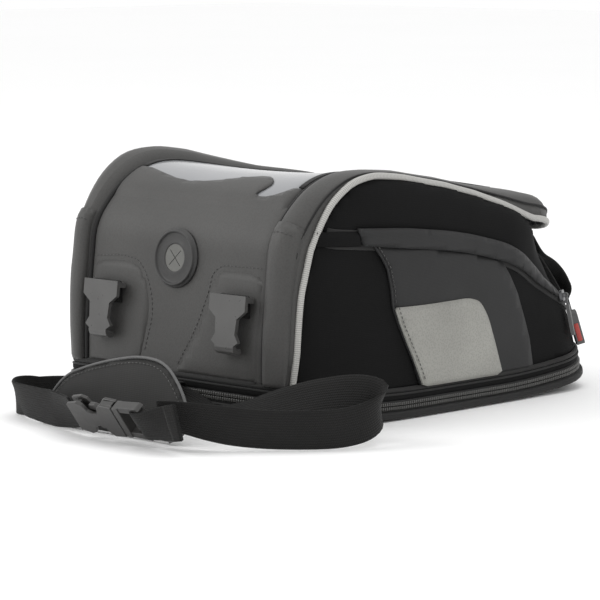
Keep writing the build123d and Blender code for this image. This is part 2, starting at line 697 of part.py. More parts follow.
def slider(angle, z, name):
    """Slider on the main zip with a bridge that holds its pull."""
    seat = corner_plane(angle, z, 0.2)
    with BuildPart() as body:
        with BuildSketch(seat):
            RectangleRounded(12, 9, 2.5)
        extrude(amount=2.4)
        with BuildSketch(Plane(seat.origin + seat.z_dir * 2.4, x_dir=seat.x_dir, z_dir=seat.z_dir)):
            with Locations((-3.6, 0), (3.6, 0)):
                Rectangle(1.6, 3)
        extrude(amount=2.2)
        with Locations(Plane(seat.origin + seat.z_dir * 4.4, x_dir=seat.z_dir, z_dir=seat.x_dir)):
            Cylinder(0.7, 8.8)
    export(body.part, name)
    return Plane(seat.origin + seat.z_dir * 4.4, x_dir=seat.x_dir, z_dir=seat.z_dir)


TAG_ANGLE = 48.0
SLIM_ANGLE = 30.0
TAG_Z = 74.0
SLIM_Z = 78.0
tag_pin = slider(TAG_ANGLE, TAG_Z, "zip_slider_tag")
slim_pin = slider(SLIM_ANGLE, SLIM_Z, "zip_slider_slim")


def eye(pin, reach):
    """Small ring that turns on a slider's bridge, with a stem that runs down the wall."""
    with BuildPart() as ring_part:
        with BuildSketch(Plane(pin.origin - pin.x_dir * 1.4, x_dir=pin.y_dir, z_dir=pin.x_dir)):
            Circle(2.0)
            with Locations((-reach / 2, 0)):
                Rectangle(reach, 1.6)
            Circle(0.75, mode=Mode.SUBTRACT)
        extrude(amount=2.8)
    return ring_part.part


export(eye(tag_pin, 12), "zip_pull_cord")
with BuildPart() as zip_pull_tag:
    with BuildSketch(Plane(tag_pin.origin - tag_pin.z_dir * 3.0, x_dir=tag_pin.x_dir, z_dir=tag_pin.z_dir)):
        with Locations((0, -27)):
            RectangleRounded(14, 29, 4)
    extrude(amount=6.5)
export(zip_pull_tag.part, "zip_pull_tag")

with BuildPart() as zip_pull_slim:
    add(eye(slim_pin, 9))
    with BuildSketch(Plane(slim_pin.origin - slim_pin.z_dir * 1.4, x_dir=slim_pin.x_dir,
                           z_dir=slim_pin.z_dir)):
        with BuildLine():
            Polyline((-3.5, -8), (3.5, -8), (2.2, -34), (-2.2, -34), close=True)
        make_face()
    extrude(amount=2.8)
export(zip_pull_slim.part, "zip_pull_slim")

# ---------------------------------------------------------------- belt
PAD_LEAN = 13.0
PAD_LENGTH = 163.0
PAD_HEIGHT = 58.0
PAD_CENTRE = (34.0, -268.0)
BUCKLE_START = Vector(23, -283, 7.2)     # lower corner of the buckle's closed end
BUCKLE_TILT = 38.0                       # the buckle leans forwards
BUCKLE_YAW = 4.0
FEMALE = 42.0
HEIGHT = 40.0
BUCKLE_THICK = 11.0

yaw = radians(BUCKLE_YAW)
tilt = radians(BUCKLE_TILT)
along = Vector(cos(yaw), sin(yaw), 0)
away = Vector(sin(yaw), -cos(yaw), 0)
up = Vector(0, 0, 1) * cos(tilt) + away * sin(tilt)
BUCKLE = Plane(origin=BUCKLE_START, x_dir=along, z_dir=along.cross(up))


def buckle_level(depth):
    """Plane parallel to the buckle's face, set back from its back face towards the front."""
    return Plane(BUCKLE.origin + BUCKLE.z_dir * depth, x_dir=BUCKLE.x_dir, z_dir=BUCKLE.z_dir)


MIDDLE = HEIGHT / 2
with BuildPart() as buckle_female:
    with BuildSketch(buckle_level(0)):
        with BuildLine():
            Polyline((9, 0), (FEMALE, 1.5), (FEMALE, HEIGHT - 1.5), (9, HEIGHT), (9, 0))
        make_face()
    extrude(amount=BUCKLE_THICK)
    # hollow that takes the prongs, with side windows for the release buttons
    with BuildSketch(buckle_level(2.2)):
        with Locations(((FEMALE + 13) / 2 + 2, MIDDLE)):
            Rectangle(FEMALE - 13, HEIGHT - 7)
    extrude(amount=BUCKLE_THICK - 4.4, mode=Mode.SUBTRACT)
    with BuildSketch(buckle_level(2.2)):
        with Locations((24, 1), (24, HEIGHT - 1)):
            Rectangle(13, 12)
    extrude(amount=BUCKLE_THICK - 4.4, mode=Mode.SUBTRACT)
    # end bar that carries the webbing
    with BuildSketch(buckle_level(3.5)):
        with Locations((4.75, 2), (4.75, HEIGHT - 2)):
            Rectangle(9.5, 4)
        with Locations((1.5, MIDDLE)):
            Rectangle(3, HEIGHT)
    extrude(amount=4)
export(buckle_female.part, "buckle_female")

MALE_START = FEMALE + 0.4
MALE_END = 74.0
with BuildPart() as buckle_male:
    with BuildSketch(buckle_level(1.5)):
        with Locations((MALE_START + 3, MIDDLE)):
            Rectangle(6, HEIGHT - 3)
        with Locations(((MALE_START + MALE_END) / 2, 3.0), ((MALE_START + MALE_END) / 2, HEIGHT - 3.0)):
            Rectangle(MALE_END - MALE_START, 3)
        with Locations((MALE_END - 1.5, MIDDLE), (MALE_END - 13, MIDDLE)):
            Rectangle(3, HEIGHT - 6)
    extrude(amount=8)
    # centre tongue and two sprung prongs that reach into the closed end
    with BuildSketch(buckle_level(3.6)):
        with Locations(((MALE_START + 20) / 2, MIDDLE)):
            Rectangle(MALE_START - 20 + 0.2, 5)
        for side in (-1, 1):
            with Locations(((MALE_START + 18) / 2, MIDDLE + side * 11.5)):
                Rectangle(MALE_START - 18 + 0.2, 3.4)
            with Locations((22.5, MIDDLE + side * 13.6)):
                Rectangle(9, 3.4)
    extrude(amount=3.6)
export(buckle_male.part, "buckle_male")


def ribbon(points, radii, name):
    """Webbing on edge: a strip that follows a plan route and stands on the ground."""
    with BuildLine() as route:
        FilletPolyline(*points, radius=radii)
    with BuildPart() as strip:
        with BuildSketch():
            with BuildLine():
                offset(route.line, amount=WEB_THICK / 2, side=Side.BOTH)
            make_face()
        extrude(amount=WEB_WIDTH)
    export(strip.part, name)


WEB_LEFT = [(10, -198), (-30, -199), (-68, -207), (-98, -221), (-115, -240), (-108, -259),
            (-86, -270), (-54, -277), (-20, -283), (12, -292)]
WEB_RIGHT = [(36, -198), (84, -200), (126, -197), (162, -186), (192, -166), (212, -152),
             (220, -170), (210, -198), (188, -226), (160, -246), (132, -262), (118, -268)]
ribbon(WEB_LEFT, smooth(WEB_LEFT), "belt_web_left")
ribbon(WEB_RIGHT, smooth(WEB_RIGHT), "belt_web_right")

TAIL_LENGTH = 34.0
with BuildPart() as belt_tail:
    with BuildSketch(buckle_level(BUCKLE_THICK - 1.4)):
        with Locations((MALE_END - 8 + TAIL_LENGTH / 2, MIDDLE)):
            Rectangle(TAIL_LENGTH, WEB_WIDTH)
    extrude(amount=WEB_THICK)
export(belt_tail.part, "belt_tail")

lean = radians(PAD_LEAN)
with BuildPart() as belt_pad:
    with BuildSketch(Plane(origin=(PAD_CENTRE[0], PAD_CENTRE[1], 1.5), x_dir=(1, 0, 0),
                           z_dir=(0, -cos(lean), sin(lean)))):
        with BuildLine():
            Line((-PAD_LENGTH / 2 + 8, 0), (PAD_LENGTH / 2 - 8, 0))
            ThreePointArc((PAD_LENGTH / 2 - 8, 0), (PAD_LENGTH / 2 - 1, 10), (PAD_LENGTH / 2 - 4, 24))
            ThreePointArc((PAD_LENGTH / 2 - 4, 24), (0, PAD_HEIGHT), (4 - PAD_LENGTH / 2, 24))
            ThreePointArc((4 - PAD_LENGTH / 2, 24), (1 - PAD_LENGTH / 2, 10), (8 - PAD_LENGTH / 2, 0))
        make_face()
    extrude(amount=3)
export(belt_pad.part, "belt_pad")

KEEPER_FRONT = -202.6
with BuildPart() as belt_keeper:
    with Locations((23, (KEEPER_FRONT + FRONT_Y - FLANGE) / 2, 18)):
        Box(22, -FLANGE + FRONT_Y - KEEPER_FRONT, 36)
    with Locations((23, (KEEPER_FRONT + FRONT_Y - FLANGE) / 2, 17.2)):
        Box(22, -FLANGE + FRONT_Y - KEEPER_FRONT - 3, 32.4, mode=Mode.SUBTRACT)
export(belt_keeper.part, "belt_keeper")

# ---------------------------------------------------------------- slider and pull of the expansion zip
EXPANSION_Y = 60.0
SLIDER_X = -MID_HALF - 4.6
with BuildPart() as expansion_slider:
    with Locations((SLIDER_X, EXPANSION_Y, ZIP_SPLIT + 0.2)):
        Box(3, 12, 6)
    with Locations((SLIDER_X - 2.4, EXPANSION_Y, ZIP_SPLIT + 1.7)):
        Box(2, 2.4, 3)
export(expansion_slider.part, "expansion_slider")
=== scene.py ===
import json
from math import ceil, cos, hypot, pi, radians, sin, sqrt

import bmesh
import bpy
import numpy as np
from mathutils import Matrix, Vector


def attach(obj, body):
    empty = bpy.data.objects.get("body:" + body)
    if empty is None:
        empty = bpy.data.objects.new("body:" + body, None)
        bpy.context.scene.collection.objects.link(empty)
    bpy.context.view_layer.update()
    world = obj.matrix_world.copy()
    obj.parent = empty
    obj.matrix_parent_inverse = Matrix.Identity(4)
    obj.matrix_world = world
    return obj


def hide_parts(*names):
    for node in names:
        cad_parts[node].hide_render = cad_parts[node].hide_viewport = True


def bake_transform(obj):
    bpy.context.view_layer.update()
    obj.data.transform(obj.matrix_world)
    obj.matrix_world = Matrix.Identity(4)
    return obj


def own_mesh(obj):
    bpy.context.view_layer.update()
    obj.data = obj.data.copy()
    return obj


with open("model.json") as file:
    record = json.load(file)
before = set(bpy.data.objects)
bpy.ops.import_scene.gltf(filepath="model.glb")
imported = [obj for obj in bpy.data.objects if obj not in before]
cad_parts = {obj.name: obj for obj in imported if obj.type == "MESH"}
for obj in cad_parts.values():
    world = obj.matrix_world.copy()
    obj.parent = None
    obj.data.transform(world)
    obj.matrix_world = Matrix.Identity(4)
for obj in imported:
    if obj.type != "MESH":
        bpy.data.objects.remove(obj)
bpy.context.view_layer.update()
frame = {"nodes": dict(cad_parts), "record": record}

MM = 0.001
NODES = frame["nodes"]

# ------------------------------------------------------------------ camera
AZIMUTH, ELEVATION, DISTANCE = radians(44.2), radians(7.05), 2.51
TARGET = Vector((-0.0271, -0.006, 0.0738))
back = Vector((sin(AZIMUTH) * cos(ELEVATION), -cos(AZIMUTH) * cos(ELEVATION), sin(ELEVATION)))
camera = bpy.data.objects.new("camera", bpy.data.cameras.new("camera"))
bpy.context.collection.objects.link(camera)
camera.data.sensor_width = 36
camera.data.lens = 181.5
camera.data.clip_end = 20
camera.location = TARGET + back * DISTANCE
camera.rotation_euler = back.to_track_quat("Z", "Y").to_euler()
bpy.context.scene.camera = camera


# ------------------------------------------------------------------ materials
class Look:
    """A node material that is built up from small steps. Lengths are in metres."""

    def __init__(self, name, colour, rough, sheen=0.0, metal=0.0, spec=0.5, coat=0.0):
        self.mat = bpy.data.materials.new(name)
        self.mat.use_nodes = True
        self.tree = self.mat.node_tree
        self.shader = self.tree.nodes["Principled BSDF"]
        self.colour = colour
        for key, value in (("Base Color", (*colour, 1)), ("Roughness", rough), ("Metallic", metal),
                           ("Specular IOR Level", spec), ("Sheen Weight", sheen), ("Coat Weight", coat)):
            self.shader.inputs[key].default_value = value
        self.coord = self.tree.nodes.new("ShaderNodeTexCoord").outputs["Object"]
        self.last_colour = None
        self.last_bump = None

    def node(self, kind, **inputs):
        made = self.tree.nodes.new(kind)
        for key, value in inputs.items():
            socket = made.inputs[key.replace("_", " ")]
            if hasattr(value, "links"):
                self.tree.links.new(value, socket)
            else:
                socket.default_value = value
        return made

    def noise(self, size, detail=3.0):
        made = self.node("ShaderNodeTexNoise", Vector=self.coord, Scale=1 / size, Detail=detail)
        return made.outputs["Fac"]

    def cells(self, size):
        return self.node("ShaderNodeTexVoronoi", Vector=self.coord, Scale=1 / size).outputs["Distance"]

    def ribs(self, direction, pitch, uv=False):
        """Smooth ribs from 0 to 1 across a direction, on object or UV coordinates."""
        source = self.coord
        if uv:
            source = self.tree.nodes.new("ShaderNodeUVMap").outputs["UV"]
        dot = self.node("ShaderNodeVectorMath", Vector=source)
        dot.operation = "DOT_PRODUCT"
        dot.inputs[1].default_value = tuple(2 * pi * v / pitch for v in direction)
        wave = self.math("SINE", dot.outputs["Value"])
        return self.math("MULTIPLY_ADD", wave, 0.5, 0.5)

    def math(self, operation, *values):
        made = self.tree.nodes.new("ShaderNodeMath")
        made.operation = operation
        for socket, value in zip(made.inputs, values):
            if hasattr(value, "links"):
                self.tree.links.new(value, socket)
            else:
                socket.default_value = value
        return made.outputs[0]

    def ramp(self, fac, low, high, start, stop):
        """Low where fac is under start, rising to high at stop."""
        made = self.node("ShaderNodeMapRange", Value=fac)
        for key, value in (("From Min", start), ("From Max", stop), ("To Min", low), ("To Max", high)):
            made.inputs[key].default_value = value
        return made.outputs[0]

    def shade(self, fac, low, high, start=0.3, stop=0.7):
        """Multiplies the colour by a ramp from low to high."""
        factor = self.ramp(fac, low, high, start, stop)
        scale = self.tree.nodes.new("ShaderNodeVectorMath")
        scale.operation = "SCALE"
        self.tree.links.new(factor, scale.inputs["Scale"])
        if self.last_colour is None:
            scale.inputs[0].default_value = self.colour
        else:
            self.tree.links.new(self.last_colour, scale.inputs[0])
        self.last_colour = scale.outputs[0]
        self.tree.links.new(self.last_colour, self.shader.inputs["Base Color"])
        return self

    def bump(self, height, distance, strength=1.0):
        made = self.node("ShaderNodeBump", Height=height, Distance=distance, Strength=strength)
        if self.last_bump is not None:
            self.tree.links.new(self.last_bump, made.inputs["Normal"])
        self.last_bump = made.outputs[0]
        self.tree.links.new(self.last_bump, self.shader.inputs["Normal"])
        return self

    def rough(self, fac, low, high, start=0.3, stop=0.7):
        self.tree.links.new(self.ramp(fac, low, high, start, stop), self.shader.inputs["Roughness"])
        return self


def grained(name, colour, rough):
    look = Look(name, colour, rough, sheen=0.05)
    grain = look.cells(0.0016)
    look.bump(grain, 0.00012, 0.6).bump(look.noise(0.03, 4), 0.0006, 0.5)
    return look.shade(grain, 0.86, 1.06, 0.15, 0.6).shade(look.noise(0.06, 4), 0.9, 1.12)


def woven(name, colour, rough, pitch, sheen=0.25, depth=0.00012, spec=0.5):
    look = Look(name, colour, rough, sheen=sheen, spec=spec)
    weave = look.math("MULTIPLY", look.ribs((0.8, 1, 0), pitch), look.ribs((0, 0, 1), pitch))
    look.bump(weave, depth, 0.7).bump(look.noise(0.02, 4), 0.0008, 0.4)
    return look.shade(weave, 0.75, 1.3, 0.1, 0.8).shade(look.noise(0.05, 5), 0.85, 1.2)


def moulded(name, colour, rough):
    look = Look(name, colour, rough)
    look.bump(look.noise(0.0006, 2), 0.00004, 0.6)
    return look.shade(look.noise(0.02, 3), 0.92, 1.08).rough(look.noise(0.004, 3), rough * 0.85, rough * 1.15)


LEATHER = grained("leather", (0.043, 0.042, 0.040), 0.56)
LINING = woven("lining", (0.05, 0.05, 0.052), 0.85, 0.0015)
SMOOTH = woven("smooth_panel", (0.0145, 0.0145, 0.0148), 0.6, 0.0011, 0.03, 0.00005, 0.32)
NYLON = woven("nylon", (0.0035, 0.0035, 0.0036), 0.85, 0.0014, 0.0, 0.00012, 0.18)
PATCH = grained("light_patch", (0.262, 0.26, 0.238), 0.6)
BINDING = woven("binding", (0.0095, 0.0093, 0.009), 0.75, 0.0013, 0.08, 0.00012, 0.35)
PADMESH = woven("pad_mesh", (0.0185, 0.018, 0.0172), 0.7, 0.0014, 0.04, 0.00006, 0.35)
COIL = moulded("coil", (0.085, 0.084, 0.08), 0.38)
PLASTIC = moulded("plastic", (0.078, 0.077, 0.075), 0.32)
BUCKLE = moulded("buckle", (0.034, 0.033, 0.032), 0.36)
BOARD = moulded("board", (0.02, 0.02, 0.02), 0.6)
RUBBER = moulded("rubber", (0.028, 0.0275, 0.027), 0.5)
PORT = moulded("port_rubber", (0.118, 0.118, 0.11), 0.6)
PULL = moulded("pull_rubber", (0.10, 0.10, 0.10), 0.6)
STEEL = Look("dark_steel", (0.12, 0.12, 0.125), 0.35, metal=1.0)
STEEL.bump(STEEL.noise(0.001), 0.00003, 0.5).shade(STEEL.noise(0.006), 0.85, 1.1)
RED = moulded("red_rubber", (0.42, 0.055, 0.045), 0.5)
FILM = Look("window_film", (0.235, 0.24, 0.25), 0.16, spec=0.5, coat=0.2)
FILM.bump(FILM.noise(0.05, 2), 0.0012, 0.6).shade(FILM.noise(0.12, 2), 0.9, 1.05)
SILVER = Look("silver_band", (0.42, 0.415, 0.395), 0.42, sheen=0.1, metal=0.15)
SILVER.bump(SILVER.ribs((1, 0, 0), 0.0016, uv=True), 0.00022, 0.8)
SILVER.shade(SILVER.ribs((1, 0, 0), 0.0016, uv=True), 0.72, 1.12, 0.1, 0.8)
WEB = Look("webbing", (0.0062, 0.006, 0.0057), 0.8, sheen=0.04, spec=0.3)
WEB_ROWS = WEB.ribs((0, 1, 0), 0.0019, uv=True)
WEB_TWILL = WEB.ribs((1, 0.6, 0), 0.0017, uv=True)
WEB.bump(WEB_ROWS, 0.00025, 0.9).bump(WEB_TWILL, 0.00018, 0.7)
WEB.shade(WEB_ROWS, 0.7, 1.3, 0.1, 0.9).shade(WEB_TWILL, 0.8, 1.2, 0.1, 0.9).shade(WEB.noise(0.03, 4), 0.85, 1.2)
THREAD = woven("thread", (0.055, 0.054, 0.052), 0.7, 0.0008)

LOOK_OF_SLOT = {
    "charcoal_leather": LEATHER, "panel_smooth": SMOOTH, "nylon_black": NYLON, "patch_light": PATCH,
    "reflective_silver": SILVER, "webbing_black": WEB, "binding_dark": BINDING, "coil_zip": COIL,
    "buckle_plastic": PLASTIC, "window_clear": FILM, "rubber_black": RUBBER, "port_rubber": PORT,
    "tray_board": BOARD, "pull_grey": PULL, "steel_small": STEEL, "pad_mesh": PADMESH,
}
SLOT_OF = {row["node"]: row["material_slot"] for row in frame["record"]["subparts"]}
for name, node in NODES.items():
    node.data.materials.clear()
    node.data.materials.append(LOOK_OF_SLOT[SLOT_OF[name]].mat)


# ------------------------------------------------------------------ mesh helpers
def new_mesh(name, verts, faces, look, body=None, slot=None, uvs=None, replaces=(), smooth=True):
    """Mesh object from points in millimetres."""
    data = bpy.data.meshes.new(name)
    data.from_pydata([tuple(c * MM for c in v) for v in verts], [], faces)
    data.materials.append(look.mat)
    if smooth:
        data.polygons.foreach_set("use_smooth", [True] * len(data.polygons))
    if uvs is not None:
        layer = data.uv_layers.new(name="UVMap")
        for loop in data.loops:
            layer.data[loop.index].uv = [c * MM for c in uvs[loop.vertex_index]]
    data.update()
    made = bpy.data.objects.new(name, data)
    bpy.context.collection.objects.link(made)
    if body:
        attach(made, body)
    if replaces:
        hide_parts(*replaces)
    return made


def face_out(obj):
    """Turns every face of a closed mesh outwards."""
    bm = bmesh.new()
    bm.from_mesh(obj.data)
    bmesh.ops.recalc_face_normals(bm, faces=bm.faces)
    bm.to_mesh(obj.data)
    bm.free()
    return obj


def solid(obj, thick, inside=None):
    """Gives a sheet thickness on its back."""
    if inside is not None:
        obj.data.materials.append(inside.mat)
    made = obj.modifiers.new("thick", "SOLIDIFY")
    made.thickness = thick * MM
    made.offset = -1
    if inside is not None:
        made.material_offset = 1
    return obj


def rounded(corners, share=0.45, steps=10):
    """Points along a polyline whose corners are arcs."""
    points = [Vector(corners[0])]
    for before, corner, after in zip(corners, corners[1:], corners[2:]):
        corner = Vector(corner)
        first = Vector(before) - corner
        second = Vector(after) - corner
        run = share * min(first.length, second.length)
        start = corner + first.normalized() * run
        end = corner + second.normalized() * run
        for step in range(steps + 1):
            u = step / steps
            points.append(start.lerp(corner, u).lerp(corner.lerp(end, u), u))
    points.append(Vector(corners[-1]))
    return points


def resample(points, step, closed=False):
    """Evenly spaced points along a polyline."""
    points = [Vector(p) for p in points]
    if closed:
        points = points + [points[0]]
    runs = [(b - a).length for a, b in zip(points, points[1:])]
    total = sum(runs)
    count = max(2, int(round(total / step)))
    result = []
    index = 0
    passed = 0.0
    for k in range(count if closed else count + 1):
        want = total * k / count
        while index < len(runs) - 1 and passed + runs[index] < want:
            passed += runs[index]
            index += 1
        share = (want - passed) / runs[index] if runs[index] else 0
        result.append(points[index].lerp(points[index + 1], min(max(share, 0), 1)))
    return result


def distances(points, outline, closed=True):
    """Distance of each 2D point from a polyline."""
    pts = np.array(points, float)
    line = np.array([tuple(p)[:2] for p in outline], float)
    ends = np.roll(line, -1, axis=0) if closed else line[1:]
    starts = line if closed else line[:-1]
    best = np.full(len(pts), 1e9)
    for a, b in zip(starts, ends):
        run = b - a
        size = max(float(run @ run), 1e-9)
        share = np.clip(((pts - a) @ run) / size, 0, 1)
        best = np.minimum(best, np.linalg.norm(pts - (a + share[:, None] * run), axis=1))
    return best


def even_outline(outline, least=2.2, most=6.0):
    """Outline without points that crowd each other or runs that are too long."""
    kept = []
    for p in outline:
        if not kept or hypot(p[0] - kept[-1][0], p[1] - kept[-1][1]) >= least:
            kept.append((float(p[0]), float(p[1])))
    while len(kept) > 3 and hypot(kept[0][0] - kept[-1][0], kept[0][1] - kept[-1][1]) < least:
        kept.pop()
    result = []
    for a, b in zip(kept, kept[1:] + kept[:1]):
        parts = max(1, ceil(hypot(b[0] - a[0], b[1] - a[1]) / most))
        result += [(a[0] + (b[0] - a[0]) * k / parts, a[1] + (b[1] - a[1]) * k / parts) for k in range(parts)]
    return result


def panel(name, outline, place, look, body, slot, step=8, rings=(0.6, 1.4, 2.6), lift=0.3, edge=1.0,
          roll=2.4, swell=0.0, reach=20.0, thick=1.0, cuts_u=(), replaces=(), inside=None,
          quilt=None):
    """Sewn panel: a 2D outline cut into a fine grid, laid on a surface by place(u, v, height),
    with its edge turned down over the distance roll and its middle swollen by swell."""
    outline = even_outline(outline)
    bm = bmesh.new()
    face = bm.faces.new([bm.verts.new((p[0], p[1], 0)) for p in outline])
    past = 0.0
    for ring in rings:
        bmesh.ops.inset_region(bm, faces=[face], thickness=ring - past, use_even_offset=True)
        past = ring
    for axis, extra in ((0, cuts_u), (1, ())):
        low = min(p[axis] for p in outline)
        high = max(p[axis] for p in outline)
        count = int((high - low) / step)
        places = [low + (high - low) * (k + 0.5) / (count + 0.5) for k in range(count)] + list(extra)
        for where in places:
            co = [0, 0, 0]
            co[axis] = where
            no = [0, 0, 0]
            no[axis] = 1
            bmesh.ops.bisect_plane(bm, geom=bm.verts[:] + bm.edges[:] + bm.faces[:], plane_co=co,
                                   plane_no=no, dist=1e-5)
    bmesh.ops.remove_doubles(bm, verts=bm.verts, dist=0.02)
    bmesh.ops.triangulate(bm, faces=[f for f in bm.faces if len(f.verts) > 4])
    flat = [(v.co.x, v.co.y) for v in bm.verts]
    verts = []
    for (u, v), d in zip(flat, distances(flat, outline)):
        height = lift - edge * (1 - sqrt(1 - (1 - min(d / roll, 1)) ** 2)) if edge else lift
        height += swell * (1 - np.exp(-(d / reach) ** 2))
        if quilt:
            height += quilt(u, v)
        verts.append(place(u, v, height))
    bm.verts.index_update()
    faces = [[v.index for v in f.verts] for f in bm.faces]
    bm.free()
    u, v = flat[faces[0][0]]
    up = Vector(place(u, v, 1.0)) - Vector(place(u, v, 0.0))
    a, b, c = (Vector(verts[i]) for i in faces[0][:3])
    if (b - a).cross(c - a).dot(up) < 0:
        faces = [list(reversed(f)) for f in faces]
    made = new_mesh(name, verts, faces, look, body, slot, replaces=replaces)
    return solid(made, thick, inside)


def frames(points, normals, closed):
    """Along, across and out vectors at each point of a path whose outward normals are known."""
    result = []
    count = len(points)
    for k, point in enumerate(points):
        ahead = points[(k + 1) % count] if closed else points[min(k + 1, count - 1)]
        behind = points[k - 1] if closed else points[max(k - 1, 0)]
        along = (ahead - behind).normalized()
        out = normals[k] - along * normals[k].dot(along)
        out.normalize()
        result.append((point, along, out, along.cross(out).normalized()))
    return result


def ring_faces(count, size, closed):
    """Faces between count rings of size points each."""
    faces = []
    for k in range(count if closed else count - 1):
        one = k * size
        two = ((k + 1) % count) * size
        for i in range(size):
            j = (i + 1) % size
            faces.append([one + i, one + j, two + j, two + i])
    return faces


def loft(name, points, normals, section, look, body, slot, closed=False, replaces=()):
    """Sweeps a closed section of (out, across) pairs along a path."""
    rows = frames([Vector(p) for p in points], [Vector(n) for n in normals], closed)
    verts = []
    uvs = []
    travelled = 0.0
    round_about = [0.0]
    for a, b in zip(section, section[1:]):
        round_about.append(round_about[-1] + hypot(b[0] - a[0], b[1] - a[1]))
    last = None
    for point, along, out, across in rows:
        if last is not None:
            travelled += (point - last).length
        last = point
        for (o, c), v in zip(section, round_about):
            verts.append(point + out * o + across * c)
            uvs.append((travelled, v))
    size = len(section)
    count = len(rows)
    faces = ring_faces(count, size, closed)
    if not closed:
        faces.append(list(range(size)))
        faces.append([(count - 1) * size + i for i in reversed(range(size))])
    return face_out(new_mesh(name, verts, faces, look, body, slot, uvs=uvs, replaces=replaces))


def smooth_step(u):
    u = min(max(u, 0.0), 1.0)
    return u * u * (3 - 2 * u)


def circle(radius, sides=8):
    return [(radius * cos(2 * pi * k / sides), radius * sin(2 * pi * k / sides)) for k in range(sides)]


def strap_section(width, thick):
    """Flat strap with soft edges: thickness outwards, width across."""
    half = width / 2
    edge = thick / 2
    top = [(edge, c) for c in np.linspace(-half + 0.6, half - 0.6, 7)]
    bottom = [(-edge, -c) for _, c in top]
    return top + [(0, half)] + bottom + [(0, -half)]


def stations(points, normals, pitch):
    """Evenly spaced places on a path: centre, direction, normal of the run's start, and normal between."""
    points = [Vector(p) for p in points]
    normals = [Vector(n) for n in normals]
    runs = [0.0]
    for a, b in zip(points, points[1:]):
        runs.append(runs[-1] + (b - a).length)
    index = 0
    for k in range(int(runs[-1] / pitch)):
        want = (k + 0.5) * pitch
        while index < len(runs) - 2 and runs[index + 1] < want:
            index += 1
        share = (want - runs[index]) / max(runs[index + 1] - runs[index], 1e-6)
        yield (points[index].lerp(points[index + 1], share), (points[index + 1] - points[index]).normalized(),
               normals[index], normals[index].lerp(normals[index + 1], share))


def stitches(name, points, normals, look, body, slot, pitch=4.0, length=2.7, radius=0.32):
    """Row of single stitches along a path."""
    verts = []
    faces = []
    for centre, along, out, _ in stations(points, normals, pitch):
        out = out.normalized()
        side = along.cross(out).normalized()
        first = len(verts)
        for at, size in ((-0.5, 0.35), (-0.3, 1.0), (0.3, 1.0), (0.5, 0.35)):
            middle = centre + along * (at * length) + out * (0.1 if size > 0.5 else -0.25)
            for q in range(5):
                turn = 2 * pi * q / 5
                verts.append(middle + (out * cos(turn) + side * sin(turn)) * radius * size)
        for r in range(3):
            for q in range(5):
                w = (q + 1) % 5
                a = first + r * 5
                faces.append([a + q, a + w, a + 5 + w, a + 5 + q])
        faces.append([first + q for q in reversed(range(5))])
        faces.append([first + 15 + q for q in range(5)])
    return face_out(new_mesh(name, verts, faces, look, body, slot))


def join(name, objects):
    """Merges several of the objects above into one piece that keeps the first one's body and material."""
    first = objects[0]
    bm = bmesh.new()
    for obj in objects:
        bm.from_mesh(obj.data)
    bm.to_mesh(first.data)
    bm.free()
    for obj in objects[1:]:
        bpy.data.objects.remove(obj)
    first.name = name
    return first


def soften(obj, width, angle):
    """Rounds the edges of a hard part that are sharper than angle."""
    bevel = obj.modifiers.new("edges", "BEVEL")
    bevel.width = width * MM
    bevel.segments = 2
    bevel.limit_method = "ANGLE"
    bevel.angle_limit = radians(angle)


def facing_x(points):
    """Normals of a strap whose width runs along x."""
    last = len(points) - 1
    return [Vector((1, 0, 0)).cross(points[min(k + 1, last)] - points[max(k - 1, 0)]) for k in range(last + 1)]


# ------------------------------------------------------------------ the bag's surfaces, in millimetres
FRONT_Y, REAR_Y = -184.0, 184.0
MID_HALF, MID_Y = 138.0, -20.0      # widest half width, and where the flanks start to narrow forwards
CORNER, LEAN, SEAM_Z = 52.0, 0.396, 34.0   # rear corner radius, rear wall's lean above the seam
FLANK_R = (10.0 ** 2 + 154.0 ** 2) / 20.0
FRONT_R = (128.0 ** 2 + 10.0 ** 2) / 20.0
RUN_Y, RUN_Z = 15.5, 132.0          # slope of the front face
UNDER_R, FLAT_HALF = 760.0, 50.0    # the underside curves up beyond its flat middle


def rocker(y):
    """Rise of the underside at y."""
    past = max(abs(y) - FLAT_HALF, 0.0)
    return UNDER_R - sqrt(UNDER_R ** 2 - past ** 2)


def face_y(z):
    return -170.0 + (z - 132.0) * RUN_Y / RUN_Z


BOTTOM_Z = 33.0
PROFILE = rounded([(face_y(BOTTOM_Z), BOTTOM_Z), (-168.6, 145), (-152, 165), (-134, 180), (-112, 189.6),
                   (-88, 191.4), (-60, 187.6), (-15, 180), (30, 174), (81, 168.6), (125, 161), (152, 149)], 0.5)
PROFILE = resample([p.to_3d() for p in PROFILE], 3.0)
PROFILE_T = np.concatenate([[0], np.cumsum([(b - a).length for a, b in zip(PROFILE, PROFILE[1:])])])
PROFILE_Y = np.array([p.x for p in PROFILE])
PROFILE_Z = np.array([p.y for p in PROFILE])
T_END = float(PROFILE_T[-1])
TOP_INDEX = int(PROFILE_Z.argmax())


def t_at_z(z):
    """Distance along the profile of a height on the front face."""
    return float(np.interp(z, PROFILE_Z[:TOP_INDEX], PROFILE_T[:TOP_INDEX]))


def t_at_y(y):
    """Distance along the profile of a place on the top."""
    return float(np.interp(y, PROFILE_Y, PROFILE_T))


